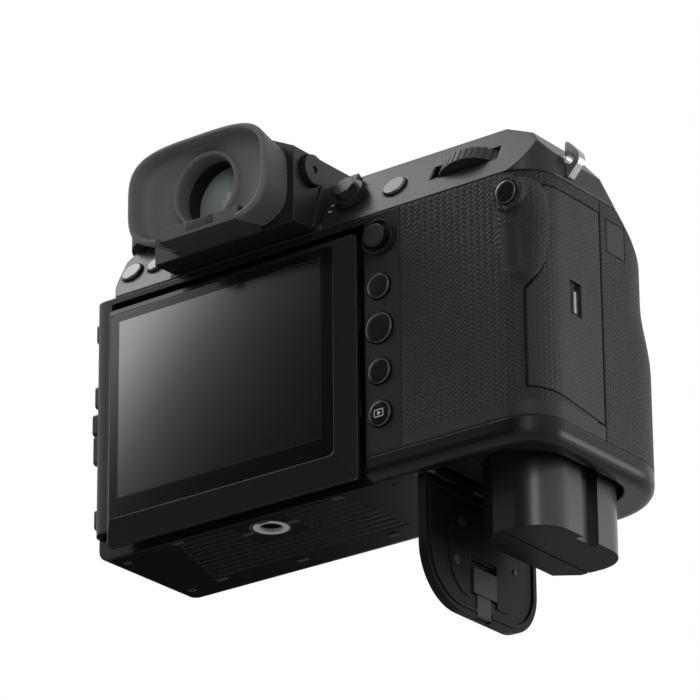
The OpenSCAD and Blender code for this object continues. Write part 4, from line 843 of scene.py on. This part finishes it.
VIEW_TARGET = Vector((-0.01832, -0.01035, 0.04876))
TOWARD_VIEWER = Vector((-0.5555, 0.7345, -0.3898)).normalized()
VIEW_DISTANCE = 1.242
VIEW_ROLL = -0.516
LENS_LENGTH = 242.7
BODY_MIDDLE = (-0.02, 0.0, 0.05)
GRIP_MIDDLE = (-0.07, -0.02, 0.03)
FLOOR_Z = -1.5
FLOOR_HALF = 40.0
FLOOR_GLOW = 0.45
WORLD_LIGHT = 0.35
WORLD_SEEN = 1.0


def stage_mesh(name, shape, paint):
    """A piece of the studio, which isn't part of the camera."""
    mesh = bpy.data.meshes.new(name)
    shape.to_mesh(mesh)
    shape.free()
    mesh.materials.append(paint)
    prop = bpy.data.objects.new(name, mesh)
    bpy.context.scene.collection.objects.link(prop)
    return prop


def stage_paint(name, tone, roughness, specular):
    paint = bpy.data.materials.new(name)
    paint.use_nodes = True
    shader = paint.node_tree.nodes["Principled BSDF"]
    shader.inputs["Base Color"].default_value = (tone, tone, tone, 1.0)
    shader.inputs["Roughness"].default_value = roughness
    shader.inputs["Specular IOR Level"].default_value = specular
    shader.inputs["Emission Color"].default_value = WHITE
    return paint, shader


def seen_directly(tree):
    """One for rays that show the background: to the camera, off gloss and through glass."""
    path = tree.nodes.new("ShaderNodeLightPath")
    seen = math_node(tree, "MAXIMUM", path.outputs["Is Camera Ray"], path.outputs["Is Transmission Ray"])
    return math_node(tree, "MAXIMUM", seen, path.outputs["Is Glossy Ray"])


def build_world():
    """A white background, which lights the camera more softly than it looks."""
    world = bpy.data.worlds.new("studio")
    world.use_nodes = True
    bpy.context.scene.world = world
    tree = world.node_tree
    back = tree.nodes["Background"]
    back.inputs["Color"].default_value = WHITE
    tree.links.new(map_node(tree, seen_directly(tree), WORLD_LIGHT, WORLD_SEEN), back.inputs["Strength"])


def build_floor():
    """A pale floor, far enough below to leave the base in view and wide enough to hide its edge."""
    shape = bmesh.new()
    bmesh.ops.create_grid(shape, x_segments=1, y_segments=1, size=FLOOR_HALF)
    bmesh.ops.translate(shape, verts=shape.verts, vec=(0.0, 0.0, FLOOR_Z))
    paint, shader = stage_paint("pale_floor", tone=0.8, roughness=0.8, specular=0.5)
    glow = map_node(paint.node_tree, seen_directly(paint.node_tree), 0.0, FLOOR_GLOW)
    paint.node_tree.links.new(glow, shader.inputs["Emission Strength"])
    stage_mesh("floor", shape, paint)


def build_camera():
    lens = bpy.data.cameras.new("camera")
    lens.sensor_width = 36.0
    lens.lens = LENS_LENGTH
    lens.clip_end = 50.0
    camera = bpy.data.objects.new("camera", lens)
    camera.location = VIEW_TARGET + TOWARD_VIEWER * VIEW_DISTANCE
    aim = (VIEW_TARGET - camera.location).to_track_quat("-Z", "Y").to_matrix()
    camera.rotation_euler = (aim @ Matrix.Rotation(math.radians(VIEW_ROLL), 3, "Z")).to_euler()
    bpy.context.scene.collection.objects.link(camera)
    bpy.context.scene.camera = camera


def build_card(name, face, normal, edge_way, edge_at, distance, reach, glow=0.0):
    """A card, black or glowing, where a flat face mirrors the photograph's line of sight.

    Only glossy faces show it, and it lights and shades nothing. It is square, with half its side as
    reach, and its edge towards edge_way lies edge_at from that line.
    """
    toward = (-TOWARD_VIEWER).reflect(normal)
    level = toward.cross(Z_AXIS).normalized()
    rise = level.cross(toward)
    edge = (level * edge_way[0] + rise * edge_way[1]).normalized()
    turn = Matrix((edge, toward.cross(edge), toward)).transposed().to_4x4()
    middle = Vector(face) + toward * distance + edge * (edge_at - reach)
    shape = bmesh.new()
    bmesh.ops.create_grid(shape, x_segments=1, y_segments=1, size=reach,
                          matrix=Matrix.Translation(middle) @ turn)
    paint, shader = stage_paint(name, tone=0.01, roughness=0.5, specular=0.0)
    shader.inputs["Emission Strength"].default_value = glow
    paint.cycles.emission_sampling = "NONE"
    card = stage_mesh(name, shape, paint)
    card.visible_camera = False
    card.visible_diffuse = False
    card.visible_shadow = False
    card.visible_transmission = False


def area_light(name, place, aim, size, power):
    lamp = bpy.data.lights.new(name, "AREA")
    lamp.shape = "RECTANGLE"
    lamp.size, lamp.size_y = size
    lamp.energy = power
    holder = bpy.data.objects.new(name, lamp)
    holder.location = place
    holder.rotation_euler = (Vector(aim) - Vector(place)).to_track_quat("-Z", "Y").to_euler()
    bpy.context.scene.collection.objects.link(holder)


bpy.context.scene.view_settings.view_transform = "Standard"
build_world()
build_floor()
build_camera()
build_card("screen_flag", face=(0.0, 0.0145, 0.04), normal=Y_AXIS, edge_way=(0.85, 0.53), edge_at=0.037,
           distance=0.36, reach=0.4)
build_card("base_flag", face=(0.0, -0.01, 0.0), normal=Z_AXIS, edge_way=(1.0, 0.0), edge_at=0.05,
           distance=0.36, reach=0.2)
build_card("screen_glow", face=(0.04, 0.0145, 0.064), normal=Y_AXIS, edge_way=(0.85, 0.53), edge_at=0.2,
           distance=0.8, reach=0.2, glow=4.5)
area_light("overhead", place=(0.9, 0.25, 1.0), aim=BODY_MIDDLE, size=(0.6, 0.7), power=6.5)
area_light("rear_fill", place=(-0.7, 1.2, 0.35), aim=BODY_MIDDLE, size=(0.6, 0.8), power=5.0)
area_light("side_fill", place=(-0.8, -0.7, -0.05), aim=GRIP_MIDDLE, size=(0.4, 0.5), power=5.0)
